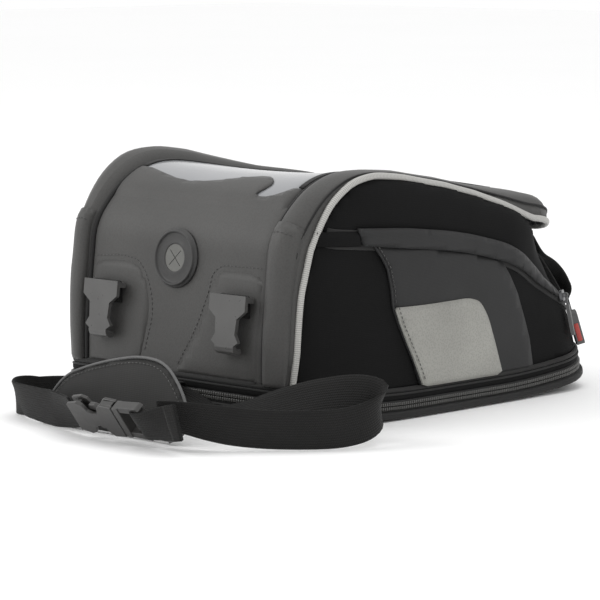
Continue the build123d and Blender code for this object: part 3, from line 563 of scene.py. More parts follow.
T_KEYS = [0, t_at_z(106), t_at_z(134), t_at_z(154), t_at_y(-138), t_at_y(-114), t_at_y(-88), t_at_y(-55),
          t_at_y(-7), t_at_y(30), t_at_y(68), t_at_y(95), t_at_y(107), T_END]
EDGE_FALL = [7, 10.5, 15, 15, 7, 2.5, 0, -1, 0, 4, 11, 17, 19, 17]
EDGE_RUN = [22, 26, 28, 28, 28, 26, 26, 26, 26, 28, 28, 24, 20, 16]
CROWN = [0, 0, 0, 0, -2, -4, -4, -3, -1, 1, 3, 4, 4, 2]
PUFF_RIGHT = [2.5, 4.5, 5.5, 6, 5, 4, 3.5, 5.5, 5.5, 3.5, 2, 1.5, 1, 0]
PUFF_LEFT = [2.5, 4.5, 5.5, 7, 9, 10.5, 10.5, 10.5, 7.5, 5, 4.5, 3.5, 2, 0]
EDGE_X_KEYS = [0, t_at_z(60), t_at_z(154), t_at_y(-120), T_END]
EDGE_X = [122.5, 125.5, 127.5, 131, 131.5]   # half width of the cover
PIPING_X = 100.0   # inner piping between the middle panel and the padded strips
REAR_X = 131.5      # half width of the cover at its rear edge
CAP_R = 40.0        # radius of its rear corners


def edge_x(t):
    return float(np.interp(t, EDGE_X_KEYS, EDGE_X))


def cover_outline(step=7.0):
    """Outline of the front and top cover in (x, t), from the front's right foot round to the left."""
    right = [(edge_x(t), t) for t in np.arange(0, T_END - CAP_R, step)]
    middle = (REAR_X - CAP_R, T_END - CAP_R)
    corner = [(middle[0] + CAP_R * cos(radians(a)), middle[1] + CAP_R * sin(radians(a)))
              for a in range(0, 91, 6)]
    rear = [(x, T_END) for x in np.arange(middle[0] - step, 0, -step)]
    half = right + corner + rear
    return half + [(-x, t) for x, t in reversed(half)]


COVER_EDGE = cover_outline()


def edge_distance(x, t):
    """Distance in from the cover's side and rear edge."""
    x = abs(x)
    if t > T_END - CAP_R and x > REAR_X - CAP_R:
        return CAP_R - hypot(x - REAR_X + CAP_R, t - T_END + CAP_R)
    return min(edge_x(t) - x, T_END - t)


def cover(x, t, height=0.0):
    """Point on the cover: x across, t along the side profile from the front's foot. The strips
    outside the inner piping are padded and stand proud, and the edge rolls down."""
    y = float(np.interp(t, PROFILE_T, PROFILE_Y))
    z = float(np.interp(t, PROFILE_T, PROFILE_Z))
    y1 = float(np.interp(t + 3, PROFILE_T, PROFILE_Y)) - float(np.interp(t - 3, PROFILE_T, PROFILE_Y))
    z1 = float(np.interp(t + 3, PROFILE_T, PROFILE_Z)) - float(np.interp(t - 3, PROFILE_T, PROFILE_Z))
    size = hypot(y1, z1)
    ny, nz = -z1 / size, y1 / size
    fall = float(np.interp(t, T_KEYS, EDGE_FALL))
    run = float(np.interp(t, T_KEYS, EDGE_RUN))
    d = max(edge_distance(x, t), 0.0)
    height = height - fall * (1 - sqrt(1 - (1 - min(d / run, 1)) ** 2))
    past = (abs(x) - PIPING_X) / (edge_x(t) - PIPING_X)
    if 0 < past < 1:
        puff = float(np.interp(t, T_KEYS, PUFF_RIGHT if x > 0 else PUFF_LEFT))
        height += puff * max(1 - (2 * past - 1) ** 2, 0) ** 0.7
    elif past <= 0:
        height += float(np.interp(t, T_KEYS, CROWN)) * (1 - (x / PIPING_X) ** 2)
    height -= 2.6 * np.exp(-((abs(x) - PIPING_X) / 3.0) ** 2) * min((T_END - t) / 20.0, 1)
    sag = 0.0
    if t < t_at_z(120):
        arc = FRONT_Y + FRONT_R - sqrt(FRONT_R ** 2 - min(abs(x), 128) ** 2)
        gap = arc - face_y(z)
        sag = max(0.5 * (gap + sqrt(gap * gap + 4.0)) - 0.5, 0)
    return (x, y + ny * height + sag, z + nz * height)


def cover_normal(x, t):
    return (Vector(cover(x, t, 1.0)) - Vector(cover(x, t, 0.0))).normalized()


def wall_raw(s, z, height=0.0):
    """Right-hand wall: s is y along the flat side and goes on round the rear corner."""
    shift = -LEAN * max(z - SEAM_Z, 0.0)
    corner_y = REAR_Y - CORNER + shift
    if s <= corner_y:
        if s < MID_Y:
            turn = (MID_Y - s) / FLANK_R
            x = MID_HALF - FLANK_R * (1 - cos(turn))
            normal = (cos(turn), -sin(turn), 0)
        else:
            x = MID_HALF
            normal = (1, 0, 0)
        y = s
    else:
        turn = (s - corner_y) / CORNER
        if turn < pi / 2:
            x = MID_HALF - CORNER + CORNER * cos(turn)
            y = corner_y + CORNER * sin(turn)
            normal = (cos(turn), sin(turn), LEAN * sin(turn) if z > SEAM_Z else 0)
        else:
            x = MID_HALF - CORNER - (s - corner_y - CORNER * pi / 2)
            y = corner_y + CORNER
            normal = (0, 1, LEAN if z > SEAM_Z else 0)
    size = sqrt(sum(c * c for c in normal))
    return (x + normal[0] * height / size, y + normal[1] * height / size, z + normal[2] * height / size)


EDGE_PATH = [Vector(cover(x, t)) for x, t in COVER_EDGE[:len(COVER_EDGE) // 2]]
SIDE_EDGE = [(p.y, p.z) for p in EDGE_PATH if p.x > 118 and p.y < 108] + [(128, 131.0), (420, 131.0)]
SIDE_EDGE_LINE = [Vector((a, b, 0)) for a, b in SIDE_EDGE]


def wall(s, z, height=0.0):
    """The wall with its upper and front edges turned in towards the edge piping."""
    d = float(distances([(s, z)], SIDE_EDGE_LINE, closed=False)[0])
    inward = float(np.interp(s, [-175, -140, -110, 60, 110, 140], [5.0, 6.0, 7.0, 7.0, 2.5, 0.0]))
    turned = inward * (1 - sqrt(1 - (1 - min(d / 16.0, 1)) ** 2))
    hollow = float(np.interp(z, [68, 80, 95, 112, 124, 134], [0, 4, 9, 12, 12, 9]))
    return wall_raw(s, z, height - turned - hollow * smooth_step((s - 70) / 60))


def wall_normal(s, z):
    return (Vector(wall(s, z, 1.0)) - Vector(wall(s, z, 0.0))).normalized()


def rear_s(z):
    """s of the middle of the rear wall at height z."""
    return REAR_Y - CORNER - LEAN * max(z - SEAM_Z, 0.0) + CORNER * pi / 2 + MID_HALF - CORNER


def seam_z(s):
    """Height of the seam at the wall's foot."""
    return rocker(wall_raw(s, 30)[1]) + 22.0


ZIP_CORNERS = [(-230, 155), (-160.5, 155), (-140, 146), (-60, 138.5), (5, 131), (72, 115), (122, 85.5),
               (152, 69), (185, 67.5), (420, 67.5)]
ZIP_LINE = rounded([(a, b, 0) for a, b in ZIP_CORNERS])
ZIP_Y = [p.x for p in ZIP_LINE]
ZIP_Z = [p.y for p in ZIP_LINE]


def zip_z(s):
    """Height of the main zip. Round the rear corner s runs ahead of y."""
    y = s if s < 105 else 105 + (s - 105) * 0.8
    return float(np.interp(y, ZIP_Y, ZIP_Z))


def mirror_point(p):
    return (-p[0], p[1], p[2])


def same_point(p):
    return p


SIDES = (("right", same_point), ("left", mirror_point))

# ------------------------------------------------------------------ belt
WEB_LEFT = [(20, -198, 15.2), (-30, -200, 15.2), (-62, -208, 15.2), (-88, -221, 15), (-101, -238, 14.8),
            (-97, -257, 14.8), (-78, -269, 15), (-50, -277, 15.2), (-20, -283, 15.4), (10, -291.5, 17.5),
            (26.5, -298.6, 19.8)]
WEB_RIGHT = [(26, -198, 15.2), (38, -198.6, 12.5), (60, -201, 8.5), (90, -200, 12), (126, -196, 22),
             (162, -186, 33), (192, -170, 38), (208, -160, 34), (214, -172, 22), (206, -196, 15.6), (188, -222, 15.2),
             (162, -248, 16),
             (138, -268, 20), (120, -281, 24), (104, -289.5, 25.5)]
LEAN_LEFT = ([0, 0.25, 0.45, 0.6, 0.82, 1], [0, 0.35, 0.5, -0.35, -0.15, -0.66])
LEAN_RIGHT = ([0, 0.05, 0.1, 0.18, 0.29, 0.42, 0.5, 0.6, 0.86, 1],
              [0, 0.8, 1.1, 0.95, 0.6, 0.45, 0.2, 0, 0.12, 0.66])
WEB_WIDTH = 30.0


def route(name, points):
    """Smooth line beside its control points, as dense points in metres."""
    data = bpy.data.curves.new(name, "CURVE")
    data.dimensions = "3D"
    data.resolution_u = 24
    line = data.splines.new("NURBS")
    line.points.add(len(points) - 1)
    for point, co in zip(line.points, points):
        point.co = (*(c * MM for c in co), 1)
    line.order_u = 3
    line.use_endpoint_u = True
    holder = bpy.data.objects.new(name, data)
    bpy.context.collection.objects.link(holder)
    mesh = bpy.data.meshes.new_from_object(holder)
    dense = [v.co.copy() for v in mesh.vertices]
    bpy.data.objects.remove(holder)
    return dense


def run_length(points):
    return sum((b - a).length for a, b in zip(points, points[1:]))


def ribbon(name, node, points, lean):
    """Webbing that stands on its edge, its face turned up by lean: shares of the way, and angles there."""
    dense = route(name + "_route", points)
    line = resample([p / MM for p in dense], 3.5)
    normals = []
    for k in range(len(line)):
        ahead = line[min(k + 1, len(line) - 1)] - line[max(k - 1, 0)]
        side = Vector((ahead.y, -ahead.x, 0)).normalized()
        tilt = float(np.interp(k / (len(line) - 1), *lean))
        normals.append(side * cos(tilt) + Vector((0, 0, 1)) * sin(tilt))
    made = loft(name, line, normals, strap_section(WEB_WIDTH - 0.6, 1.6), WEB, "base", "webbing_black",
                replaces=(node,))
    tuple(dense[0])
    round(run_length(dense), 3)
    [tuple(p) for p in dense]
    return made


BUCKLE_START = Vector((23, -283, 7.2))
BUCKLE_X = Vector((0.99756, 0.06976, 0))
BUCKLE_UP = Vector((0.04, -0.61, 0.79)).normalized()
BUCKLE_OUT = Vector((0.055, -0.786, -0.616)).normalized()
BUCKLE_MID = 20.0   # the buckle's middle line, as far up as it is from either edge


def on_buckle(x, v, depth):
    return BUCKLE_START + BUCKLE_X * x + BUCKLE_UP * v + BUCKLE_OUT * depth


def prism(outline, low, high):
    """Corners and faces of a flat part of the buckle, from (x, v) corners and two depths."""
    size = len(outline)
    verts = [on_buckle(x, v, depth) for depth in (low, high) for x, v in outline]
    faces = [list(reversed(range(size))), list(range(size, 2 * size))]
    faces += [[k, (k + 1) % size, size + (k + 1) % size, size + k] for k in range(size)]
    return verts, faces


def buckle_part(name, prisms, body, node):
    verts = []
    faces = []
    for outline, low, high in prisms:
        more, their = prism(outline, low, high)
        faces += [[len(verts) + c for c in face] for face in their]
        verts += more
    made = face_out(new_mesh(name, verts, faces, BUCKLE, body, "buckle_plastic", smooth=False, replaces=(node,)))
    soften(made, 0.55, 35)
    return made


def mirrored(corners):
    """Corners on the other side of the buckle's middle line."""
    return [(x, 2 * BUCKLE_MID - v) for x, v in corners]


def both_ways(corners):
    """Outline from its upper half."""
    return corners + list(reversed(mirrored(corners)))


SHELL = both_ways([(1, 33.5), (12, 36), (17, 34), (19.5, 28.5), (24, 26), (29, 27), (32.5, 34), (36, 36),
                   (47, 35)])
buckle_female = buckle_part("buckle_shell", [
    (SHELL, 7.7, 10.6),
    (SHELL, 0.6, 3.2),
    (both_ways([(7, 32.5), (12.5, 33)]), 3.0, 8.0),
    ([(34, 33.6), (46, 33.6), (46, 35), (34, 35)], 3.0, 8.0),
    ([(34, 5), (46, 5), (46, 6.4), (34, 6.4)], 3.0, 8.0)], "base", "buckle_female")
PRONG = [(18.5, 28), (21, 32.3), (27, 32.6), (31, 30), (48, 31.5), (48, 27), (30, 25.5)]
RAIL = [(47.4, 29.5), (50, 35), (72, 36.5), (74.5, 34.5), (74.5, 31), (53, 30)]
buckle_male = buckle_part("buckle_clip", [
    (both_ways([(47.4, 34.5), (53.5, 35)]), 1.0, 10.2),
    (RAIL, 1.6, 9.4),
    (mirrored(RAIL), 1.6, 9.4),
    (both_ways([(59, 31), (62, 31)]), 2.2, 6.4),
    (both_ways([(70.5, 35), (74.5, 35)]), 3.4, 9.6),
    (both_ways([(20, 22.5), (48, 22.5)]), 3.7, 7.2),
    (PRONG, 3.7, 7.2),
    (mirrored(PRONG), 3.7, 7.2)],
    "belt_clip", "buckle_male")

TAIL_POINTS = [(62, 20, 5.0), (66, 20, 9.4), (70, 20.3, 11.2), (78, 21.8, 11.6), (86, 23.6, 11.2), (95, 25.6, 10.2),
               (104, 27.2, 9.2), (111, 28.2, 8.4)]
TAIL_LINE = resample([p.to_3d() for p in rounded([on_buckle(*p) for p in TAIL_POINTS], 0.4, 4)], 2.5)
TAIL_END_FACE = Vector((0.10, -0.99, -0.12))
tail_faces = [BUCKLE_OUT.lerp(TAIL_END_FACE, smooth_step((k / len(TAIL_LINE) - 0.25) / 0.7)).normalized()
              for k in range(len(TAIL_LINE))]
tail = loft("belt_tail_webbing", TAIL_LINE, tail_faces, strap_section(27.4, 1.6), WEB, "belt_clip",
            "webbing_black", replaces=("belt_tail",))
loft("belt_tail_hem", [p + n * 1.3 for p, n in zip(TAIL_LINE[-5:], tail_faces[-5:])], tail_faces[-5:],
     strap_section(28.0, 1.4), WEB, "belt_clip", "webbing_black")

# the pad behind the buckle: a half-moon that leans back
PAD_TILT = radians(13)


def on_pad(u, v, height=0.0):
    return (34 + u, -270.5 + v * sin(PAD_TILT) - height * cos(PAD_TILT),
            1.5 + v * cos(PAD_TILT) + height * sin(PAD_TILT))


PAD_OUTLINE = [tuple(p) for p in resample(rounded([(-81, 0), (-81, 13), (-64, 38), (-24, 52), (16, 60), (44, 58),
                                                    (64, 42), (78, 22), (74, 5), (62, 0)], 0.48), 4.0)]
pad = panel("belt_pad_cushion", PAD_OUTLINE, on_pad, PADMESH, "base", "pad_mesh", step=7, lift=2.0, edge=1.5,
            roll=4, swell=1.6, reach=9, thick=4.2, replaces=("belt_pad",))
pad_rim = [on_pad(u, v, 1.0) for u, v in PAD_OUTLINE]
loft("belt_pad_binding", pad_rim, [(Vector(p) - Vector(on_pad(0, 12, 1.0))) for p in pad_rim], circle(1.2, 8),
     PULL, "base", "pad_mesh")
inner_rim = [(u * 0.945, v * 0.925) for u, v in PAD_OUTLINE if v > 3]
stitches("belt_pad_stitches", [on_pad(u, v, 3.1) for u, v in inner_rim],
         [Vector(on_pad(0, 0, 1)) - Vector(on_pad(0, 0, 0))] * len(inner_rim), THREAD, "base", "pad_mesh")

keeper_ring = rounded([(23, -192.6, 16), (23, -192.6, 31.5), (23, -202, 31.5), (23, -202, 1), (23, -192.6, 1),
                       (23, -192.6, 16)], 0.3, 4)
KEEPER_MID = Vector((23, -197.3, 18))
loft("belt_keeper_loop", keeper_ring, [p - KEEPER_MID for p in keeper_ring], strap_section(18, 1.2), WEB, "base",
     "webbing_black", replaces=("belt_keeper",))

ribbon("belt_run_left", "belt_web_left", WEB_LEFT, LEAN_LEFT)
ribbon("belt_run_right", "belt_web_right", WEB_RIGHT, LEAN_RIGHT)


def across_hinge(obj):
    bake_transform(obj)
    return obj


across_hinge(panel("cover_skin", COVER_EDGE, cover, LEATHER, None, "charcoal_leather", step=7,
                   rings=(1.5, 4, 8, 13), lift=0.4, edge=0, thick=3.0, inside=LINING,
                   cuts_u=(-107, -103.5, -101.5, -98.5, -96.5, 96.5, 98.5, 101.5, 103.5, 107),
                   replaces=("front_wall", "lid_cap", "lid_strips")))

edge_line = resample([cover(x, t, 0.0) for x, t in COVER_EDGE], 3.0)
edge_out = [p - Vector((p.x * 0.86, p.y * 0.9 - 4, p.z - 26)) for p in edge_line]
across_hinge(loft("edge_band", edge_line, edge_out, circle(2.7, 12), SILVER, None, "reflective_silver",
                  replaces=("reflective_piping_lower", "reflective_piping_upper")))
seam_line = resample([cover(x * 0.976, t - (3.4 if t > T_END - 5 else 0), 0.3) for x, t in COVER_EDGE], 4.0)
across_hinge(loft("edge_seam", seam_line, [Vector((0, 0, 1)) + Vector((p.x, p.y, 0)) * 0.01 for p in seam_line],
                  circle(1.0, 6), BINDING, None, "binding_dark"))

piping = []
for x in (-PIPING_X, PIPING_X):
    ts = np.arange(1.0, T_END - 9, 3.0)
    piping.append(loft("piping", [cover(x, t, 1.6) for t in ts], [cover_normal(x, t) for t in ts],
                       circle(2.1, 10), BINDING, None, "binding_dark"))
cover_piping = join("cover_piping", piping)
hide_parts("front_piping", "lid_piping")
across_hinge(cover_piping)


def strip_outline(sign, top):
    """Outline of the padded strip between inner and outer piping, from the foot to its hem."""
    inner = PIPING_X + 1.6
    ts = np.arange(1.0, top - 0.5, 5.0)
    right = [(edge_x(t) - 1.6, t) for t in ts] + [(edge_x(top) - 1.6, top)]
    left = [(inner, t) for t in ts] + [(inner, top)]
    return [(sign * x, t) for x, t in right + list(reversed(left))]


for side, sign, top_z in (("right", 1, 155.5), ("left", -1, 152.5)):
    top = t_at_z(top_z)
    strip = panel("front_strip_" + side, strip_outline(sign, top), cover, LEATHER, None, "charcoal_leather", step=6,
                  rings=(0.5, 1.2, 2.2), lift=3.4, edge=1.0, roll=1.3, thick=3.0)
    across_hinge(strip)
    if side == "right":
        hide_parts("front_strips")
    hem_x = [sign * x for x in np.arange(104, 124, 2.0)]
    across_hinge(stitches("hem_stitches_" + side, [cover(x, top - 8.5, 3.5) for x in hem_x],
                          [cover_normal(x, top - 8.5) for x in hem_x], THREAD, None, "charcoal_leather"))

# patches that carry the strap hooks
PATCH_RIGHT = [(97.2, 35), (97.2, 120.6), (51, 119.4), (41.8, 113), (40.1, 100), (30.5, 73), (10, 40), (7, 35)]
PATCH_LEFT = [(-97.2, 35), (-97.2, 116.5), (-63, 119.2), (-46.3, 117.3), (-37, 109.4), (-28.3, 93.5),
              (-25.5, 76.4), (-32, 47.4), (-35, 35)]
for side, corners in (("right", PATCH_RIGHT), ("left", PATCH_LEFT)):
    outline = [tuple(p)[:2] for p in rounded([(x, t_at_z(z)) for x, z in corners], 0.42, 6)]
    patch = panel("hook_patch_" + side, outline, cover, LEATHER, "bag", "panel_smooth", step=8, lift=1.2,
                  edge=1.0, roll=1.6, swell=0.4, thick=1.0)
    if side == "right":
        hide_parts("front_patches")
    curve = rounded([(x, t_at_z(z)) for x, z in corners[1:-1]], 0.42, 8)
    middle = Vector((72.0 if side == "right" else -66.0, 35.0))
    outer = resample([(p + (p - middle).normalized() * 2.6).to_3d() for p in curve], 2.0)
    outer = [p for p in outer if abs(p.x) < 96]
    stitches("hook_patch_stitches_" + side, [cover(p.x, p.y, 0.55) for p in outer],
             [cover_normal(p.x, p.y) for p in outer], THREAD, "bag", "panel_smooth")

foot = [cover(x, 1.5, 1.0) for x in np.arange(-97, 97.5, 3.0)]
loft("front_foot_piping", foot, [cover_normal(0, 2)] * len(foot), circle(1.9, 8), BINDING, "bag", "binding_dark")

# ------------------------------------------------------------------ map window
FILM_REAR = t_at_y(96)


def wave(x):
    """y that the leather reaches over the film at x. Its right end is a pull tongue."""
    return float(np.interp(x, [-97, -83, -61, -45, -28, -14, 4, 20, 36, 46, 52],
                           [-119, -119, -125, -129, -131, -129.5, -125, -118, -113, -114, -118]))


FILM_FRONT = t_at_y(-149)
film_outline = [tuple(p) for p in rounded([(0, FILM_FRONT), (95, FILM_FRONT), (95, FILM_REAR), (-95, FILM_REAR),
                                           (-95, FILM_FRONT), (0, FILM_FRONT)], 0.1, 5)][:-1]
panel("map_window_film", film_outline, cover, FILM, "lid", "window_clear", step=7, lift=1.0, edge=0.3,
      roll=1.0, thick=0.7, replaces=("map_window",))

flap_rear = [(x, t_at_y(wave(x))) for x in np.arange(-98.0, 50, 3.5)]
flap_rear += [(x, t_at_y(y)) for x, y in ((54, -119), (58, -123), (60.5, -128), (59, -134), (56, -139), (60, -141.5),
                                          (68, -141.5), (75, -140), (82, -136.5), (89, -132), (98, -131.5))]
FLAP_START = t_at_y(-157)
flap_outline = flap_rear + [(98, FLAP_START), (-98, FLAP_START)]


def flap_place(x, t, height):
    """The flap grows out of the cover over its first 22 mm."""
    rise = smooth_step((t - FLAP_START) / 22.0)
    return cover(x, t, -1.6 + (height + 1.6) * rise)


panel("map_flap_leather", flap_outline, flap_place, LEATHER, "lid", "charcoal_leather", step=6,
      rings=(0.5, 1.2, 2.4), lift=3.0, edge=0.9, roll=1.5, thick=1.5, replaces=("map_flap",))
binding_path = [(-95.6, t) for t in np.arange(t_at_y(-118), FILM_REAR - 8, 4)]
binding_path += [(x, FILM_REAR) for x in np.arange(-88, 89, 4)]
binding_path += [(95.6, t) for t in reversed(np.arange(t_at_y(-130), FILM_REAR - 8, 4))]
loft("window_edge_binding", [cover(x, t, 1.4) for x, t in binding_path],
     [cover_normal(x, t) for x, t in binding_path], strap_section(6.0, 1.4), BINDING,
     "lid", "binding_dark", replaces=("window_binding",))

# ------------------------------------------------------------------ side and rear walls
OVERLAP = 1.2   # how far each half of the rear wall runs past the middle


def lower_outline():
    """Wall below the zip, from the front corner to the middle of the rear, in (s, z)."""
    bottom = [(s, seam_z(s)) for s in np.arange(-168, rear_s(24.0) - 4, 8.0)]
    bottom += [(rear_s(z) + OVERLAP, z) for z in (seam_z(280), 34, 42, 50, 58)]
    top = [(s, zip_z(s) - 1.0) for s in np.arange(-145, rear_s(66.5) - 4, 6.0)] + [(rear_s(66.5) + OVERLAP, 66.5)]
    front = [(a + 1.2, b) for a, b in SIDE_EDGE if a < -147 and bottom[0][1] + 4 < b < 146]
    return bottom + list(reversed(top)) + list(reversed(front))


def upper_outline():
    """Wall of the lid, between the zip and the edge piping."""
    bottom = [(s, zip_z(s) + 1.0) for s in np.arange(-141, rear_s(68.5) - 4, 6.0)]
    bottom += [(rear_s(z) + OVERLAP, z) for z in (68.5, 76, 84, 92, 100, 108, 116, 124)]
    top = [(a + 0.5, b - 1.0) for a, b in SIDE_EDGE if -143 < a < 109 and (b > 150 or a > 0)]
    top += [(s, 133.0) for s in np.arange(124, rear_s(133.0) - 4, 8.0)] + [(rear_s(133.0) + OVERLAP, 133.0)]
    return bottom + list(reversed(top))


def side_piece(name, side, turn, outline, look, body, slot, **how):
    return panel(name + "_" + side, outline, lambda s, z, h: turn(wall(s, z, h)), look, body, slot, **how)


def stitch_row(name, side, turn, path, height, body, slot):
    points = resample([Vector((s, z, 0)) for s, z in path], 2.5)
    stitches(name + "_" + side, [turn(wall(p.x, p.y, height)) for p in points],
             [Vector(turn(wall_normal(p.x, p.y))) for p in points], THREAD, body, slot)


def zip_row(name, side, turn, s_from, s_to, sign, body):
    """Tape and teeth of one half of the main zip, above its line where sign is 1."""
    ss = np.arange(s_from, s_to, 4.0)
    tape = [turn(wall(s, zip_z(s) + sign * 4.0, 1.1)) for s in ss]
    out = [Vector(turn(wall_normal(s, zip_z(s)))) for s in ss]
    made = loft(name + "_" + side, tape, out, strap_section(7.2, 0.9), BINDING, body, "coil_zip")
    teeth(name + "_teeth_" + side, [turn(wall(s, zip_z(s) + sign * 0.9, 2.0)) for s in ss], out, COIL, body,
          "coil_zip", 2.1, (1.1, 2.4, 1.3))
    return made


def teeth(name, points, normals, look, body, slot, pitch, size):
    """Row of rounded teeth: size along, across and out."""
    verts = []
    faces = []
    for centre, along, _, out in stations(points, normals, pitch):
        out = (out - along * out.dot(along)).normalized()
        side = along.cross(out)
        first = len(verts)
        for o, wide in ((-0.5, 1.0), (0.2, 1.0), (0.5, 0.55)):
            for a, c in ((-1, -1), (1, -1), (1, 1), (-1, 1)):
                verts.append(centre + out * o * size[2] + along * a * size[0] / 2 * wide
                             + side * c * size[1] / 2 * wide)
        for r in (0, 4):
            for q in range(4):
                w = (q + 1) % 4
                faces.append([first + r + q, first + r + w, first + r + 4 + w, first + r + 4 + q])
        faces.append([first + q for q in (3, 2, 1, 0)])
        faces.append([first + 8 + q for q in range(4)])
    return face_out(new_mesh(name, verts, faces, look, body, slot, smooth=False))


SEAM_PATH = [(-94, 137.5), (-86, 128), (-80, 119), (-76, 104), (-74, 89), (-68, 75), (-60, 60), (-50, 42), (-42, 25)]
PANEL_RIGHT = [(97, 30), (91, 48), (85, 64), (76, 86), (66, 102), (57, 113)]
PATCH_CORNERS = [(-42, 24.5), (-52, 45), (-62, 63), (-70, 80), (-73, 88), (-40, 87.5), (-8, 88), (12, 88.5), (26, 85),
                 (36, 72), (45, 50), (54, 25.5)]

for side, turn in SIDES:
    lower = side_piece("lower_wall", side, turn, lower_outline(), NYLON, "bag", "nylon_black", step=8, lift=0.4,
                       edge=0.6, swell=1.6, reach=26, thick=2.6, inside=LINING)
    upper = side_piece("upper_wall", side, turn, upper_outline(), NYLON, "lid", "nylon_black", step=8, lift=0.2,
                       edge=1.2, swell=1.8, reach=16, thick=2.6, inside=LINING)
    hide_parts("side_wall_" + side, *(["rear_wall"] if side == "right" else []))
    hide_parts("lid_side_" + side, *(["lid_rear_wall"] if side == "right" else []))

    seam = [(s, seam_z(s) + 0.6) for s in np.arange(-42, 97, 6.0)]
    zip_side = [(s, zip_z(s) - 3.8) for s in np.arange(-94, 59, 6.0)]
    smooth_outline = seam + PANEL_RIGHT[1:] + list(reversed(zip_side)) + SEAM_PATH[1:-1]
    smooth_panel = side_piece("pocket_panel", side, turn, smooth_outline, SMOOTH, "bag", "panel_smooth", step=8,
                              lift=2.7, edge=0.9, roll=1.6, swell=0.5, thick=1.0)
    patch_outline = [tuple(p)[:2] for p in rounded([(a, b, 0) for a, b in PATCH_CORNERS], 0.4, 4)]
    patch_outline += [(s, seam_z(s) + 0.8) for s in np.arange(48, -42, -6.0)]
    light_patch = side_piece("light_patch", side, turn, patch_outline, PATCH, "bag", "patch_light", step=8,
                             lift=5.0, edge=0.7, roll=1.2, swell=0.2, thick=2.2)
    if side == "right":
        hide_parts("side_panels")
        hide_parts("side_patches")
    tube = resample([Vector((a - 0.3, b, 0)) for a, b in SEAM_PATH], 4.0)
    loft("pocket_piping_" + side, [turn(wall(p.x, p.y, 3.0)) for p in tube],
         [Vector(turn(wall_normal(p.x, p.y))) for p in tube], circle(0.9, 6), SMOOTH, "bag", "panel_smooth")
    light = [p for p in tube if p.y < 88]
    loft("patch_piping_" + side, [turn(wall(p.x + 1.0, p.y, 4.6)) for p in light],
         [Vector(turn(wall_normal(p.x, p.y))) for p in light], circle(0.9, 6), PATCH, "bag", "patch_light")
    stitch_row("patch_stitches", side, turn, [(a + 4.0, b) for a, b in SEAM_PATH[4:]], 5.3, "bag", "patch_light")
    stitch_row("pocket_stitches", side, turn, [(a + 3.5, b) for a, b in SEAM_PATH[:5]], 3.3, "bag", "panel_smooth")

    end = rear_s(67.5) + 3.0
    low_tape = zip_row("zip_tape_lower", side, turn, -144, end, -1, "bag")
    high_tape = zip_row("zip_tape_upper", side, turn, -140, end, 1, "lid")
    if side == "right":
        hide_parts("main_zip_lower")
        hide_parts("main_zip_upper")

    finish = 136.0 if side == "right" else end + 84
    taper = [9, 11, 11, 9, 4 if side == "right" else 9]
    flap_top = [(s, zip_z(s) + float(np.interp(s, [-112, -60, 60, 105, 136], taper))) for s in
                np.arange(-112, finish, 6.0)]
    flap_low = [(s, zip_z(s) - float(np.interp(s, [-106, -60, 60, 128], [4.5, 5, 4.5, 3.5]))) for s in
                np.arange(-106, finish, 6.0)]
    rain = side_piece("rain_flap_cloth", side, turn, flap_low + list(reversed(flap_top)), SMOOTH, "lid",
                      "panel_smooth", step=6, lift=4.9, edge=1.3, roll=2.2, swell=0.6, reach=5, thick=1.5)
    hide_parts("rain_flap_" + side)

    garage = [(-150, 140.5), (-128, 139), (-107, 138), (-106, 149.5), (-128, 151), (-149, 151.5)]
    box = side_piece("zip_garage_cloth", side, turn, garage, NYLON, "lid", "panel_smooth", step=5, lift=3.4,
                     edge=1.2, roll=2.0, swell=0.8, reach=5, thick=1.2)
    if side == "right":
        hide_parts("zip_garages")

# ------------------------------------------------------------------ base
FRONT_CORNER, FLANK_END = (128.2, -174.2), -148.0   # the front corner's point, and where the flank meets it


def base_half(outset):
    """Right half of the base outline, front middle to rear middle, as (point, outward normal)."""
    result = []
    for x in np.arange(0, 103, 6.0):
        result.append(((x, FRONT_Y + FRONT_R - sqrt(FRONT_R ** 2 - x * x)),
                       (x / FRONT_R, -sqrt(1 - (x / FRONT_R) ** 2))))
    start, start_n = result[-1]
    turn = (MID_Y - FLANK_END) / FLANK_R
    last = (MID_HALF - FLANK_R * (1 - cos(turn)), FLANK_END)
    last_n = (cos(turn), -sin(turn))
    corner = Vector(FRONT_CORNER)
    for k in range(1, 10):
        u = k / 10
        p = Vector(start).lerp(corner, u).lerp(corner.lerp(Vector(last), u), u)
        n = Vector(start_n).lerp(Vector(last_n), u).normalized()
        result.append((tuple(p), tuple(n)))
    for y in np.arange(FLANK_END, -21, 8.0):
        turn = (MID_Y - y) / FLANK_R
        result.append(((MID_HALF - FLANK_R * (1 - cos(turn)), y), (cos(turn), -sin(turn))))
    for y in np.arange(-20, 131, 8.0):
        result.append(((MID_HALF, y), (1, 0)))
    for a in range(0, 91, 5):
        n = (cos(radians(a)), sin(radians(a)))
        result.append(((MID_HALF - CORNER + CORNER * n[0], REAR_Y - CORNER + CORNER * n[1]), n))
    for x in np.arange(78, 0, -8.0):
        result.append(((x, REAR_Y), (0, 1)))
    return [((p[0] + n[0] * outset, p[1] + n[1] * outset), n) for p, n in result]


def base_path(outset, above):
    """Closed path round the base at a height above its underside."""
    half = base_half(outset)
    left = [((-p[0], p[1]), (-n[0], n[1])) for p, n in reversed(half) if p[0] > 0.5]
    points = [Vector((p[0], p[1], rocker(p[1]) + above)) for p, n in half + left]
    normals = [Vector((n[0], n[1], 0)) for p, n in half + left]
    return list(reversed(points)), list(reversed(normals))


def base_ring(name, outset, above, section, look, body, slot, replaces=()):
    points, normals = base_path(outset, above)
    return loft(name, points, normals, section, look, body, slot, closed=True, replaces=replaces)


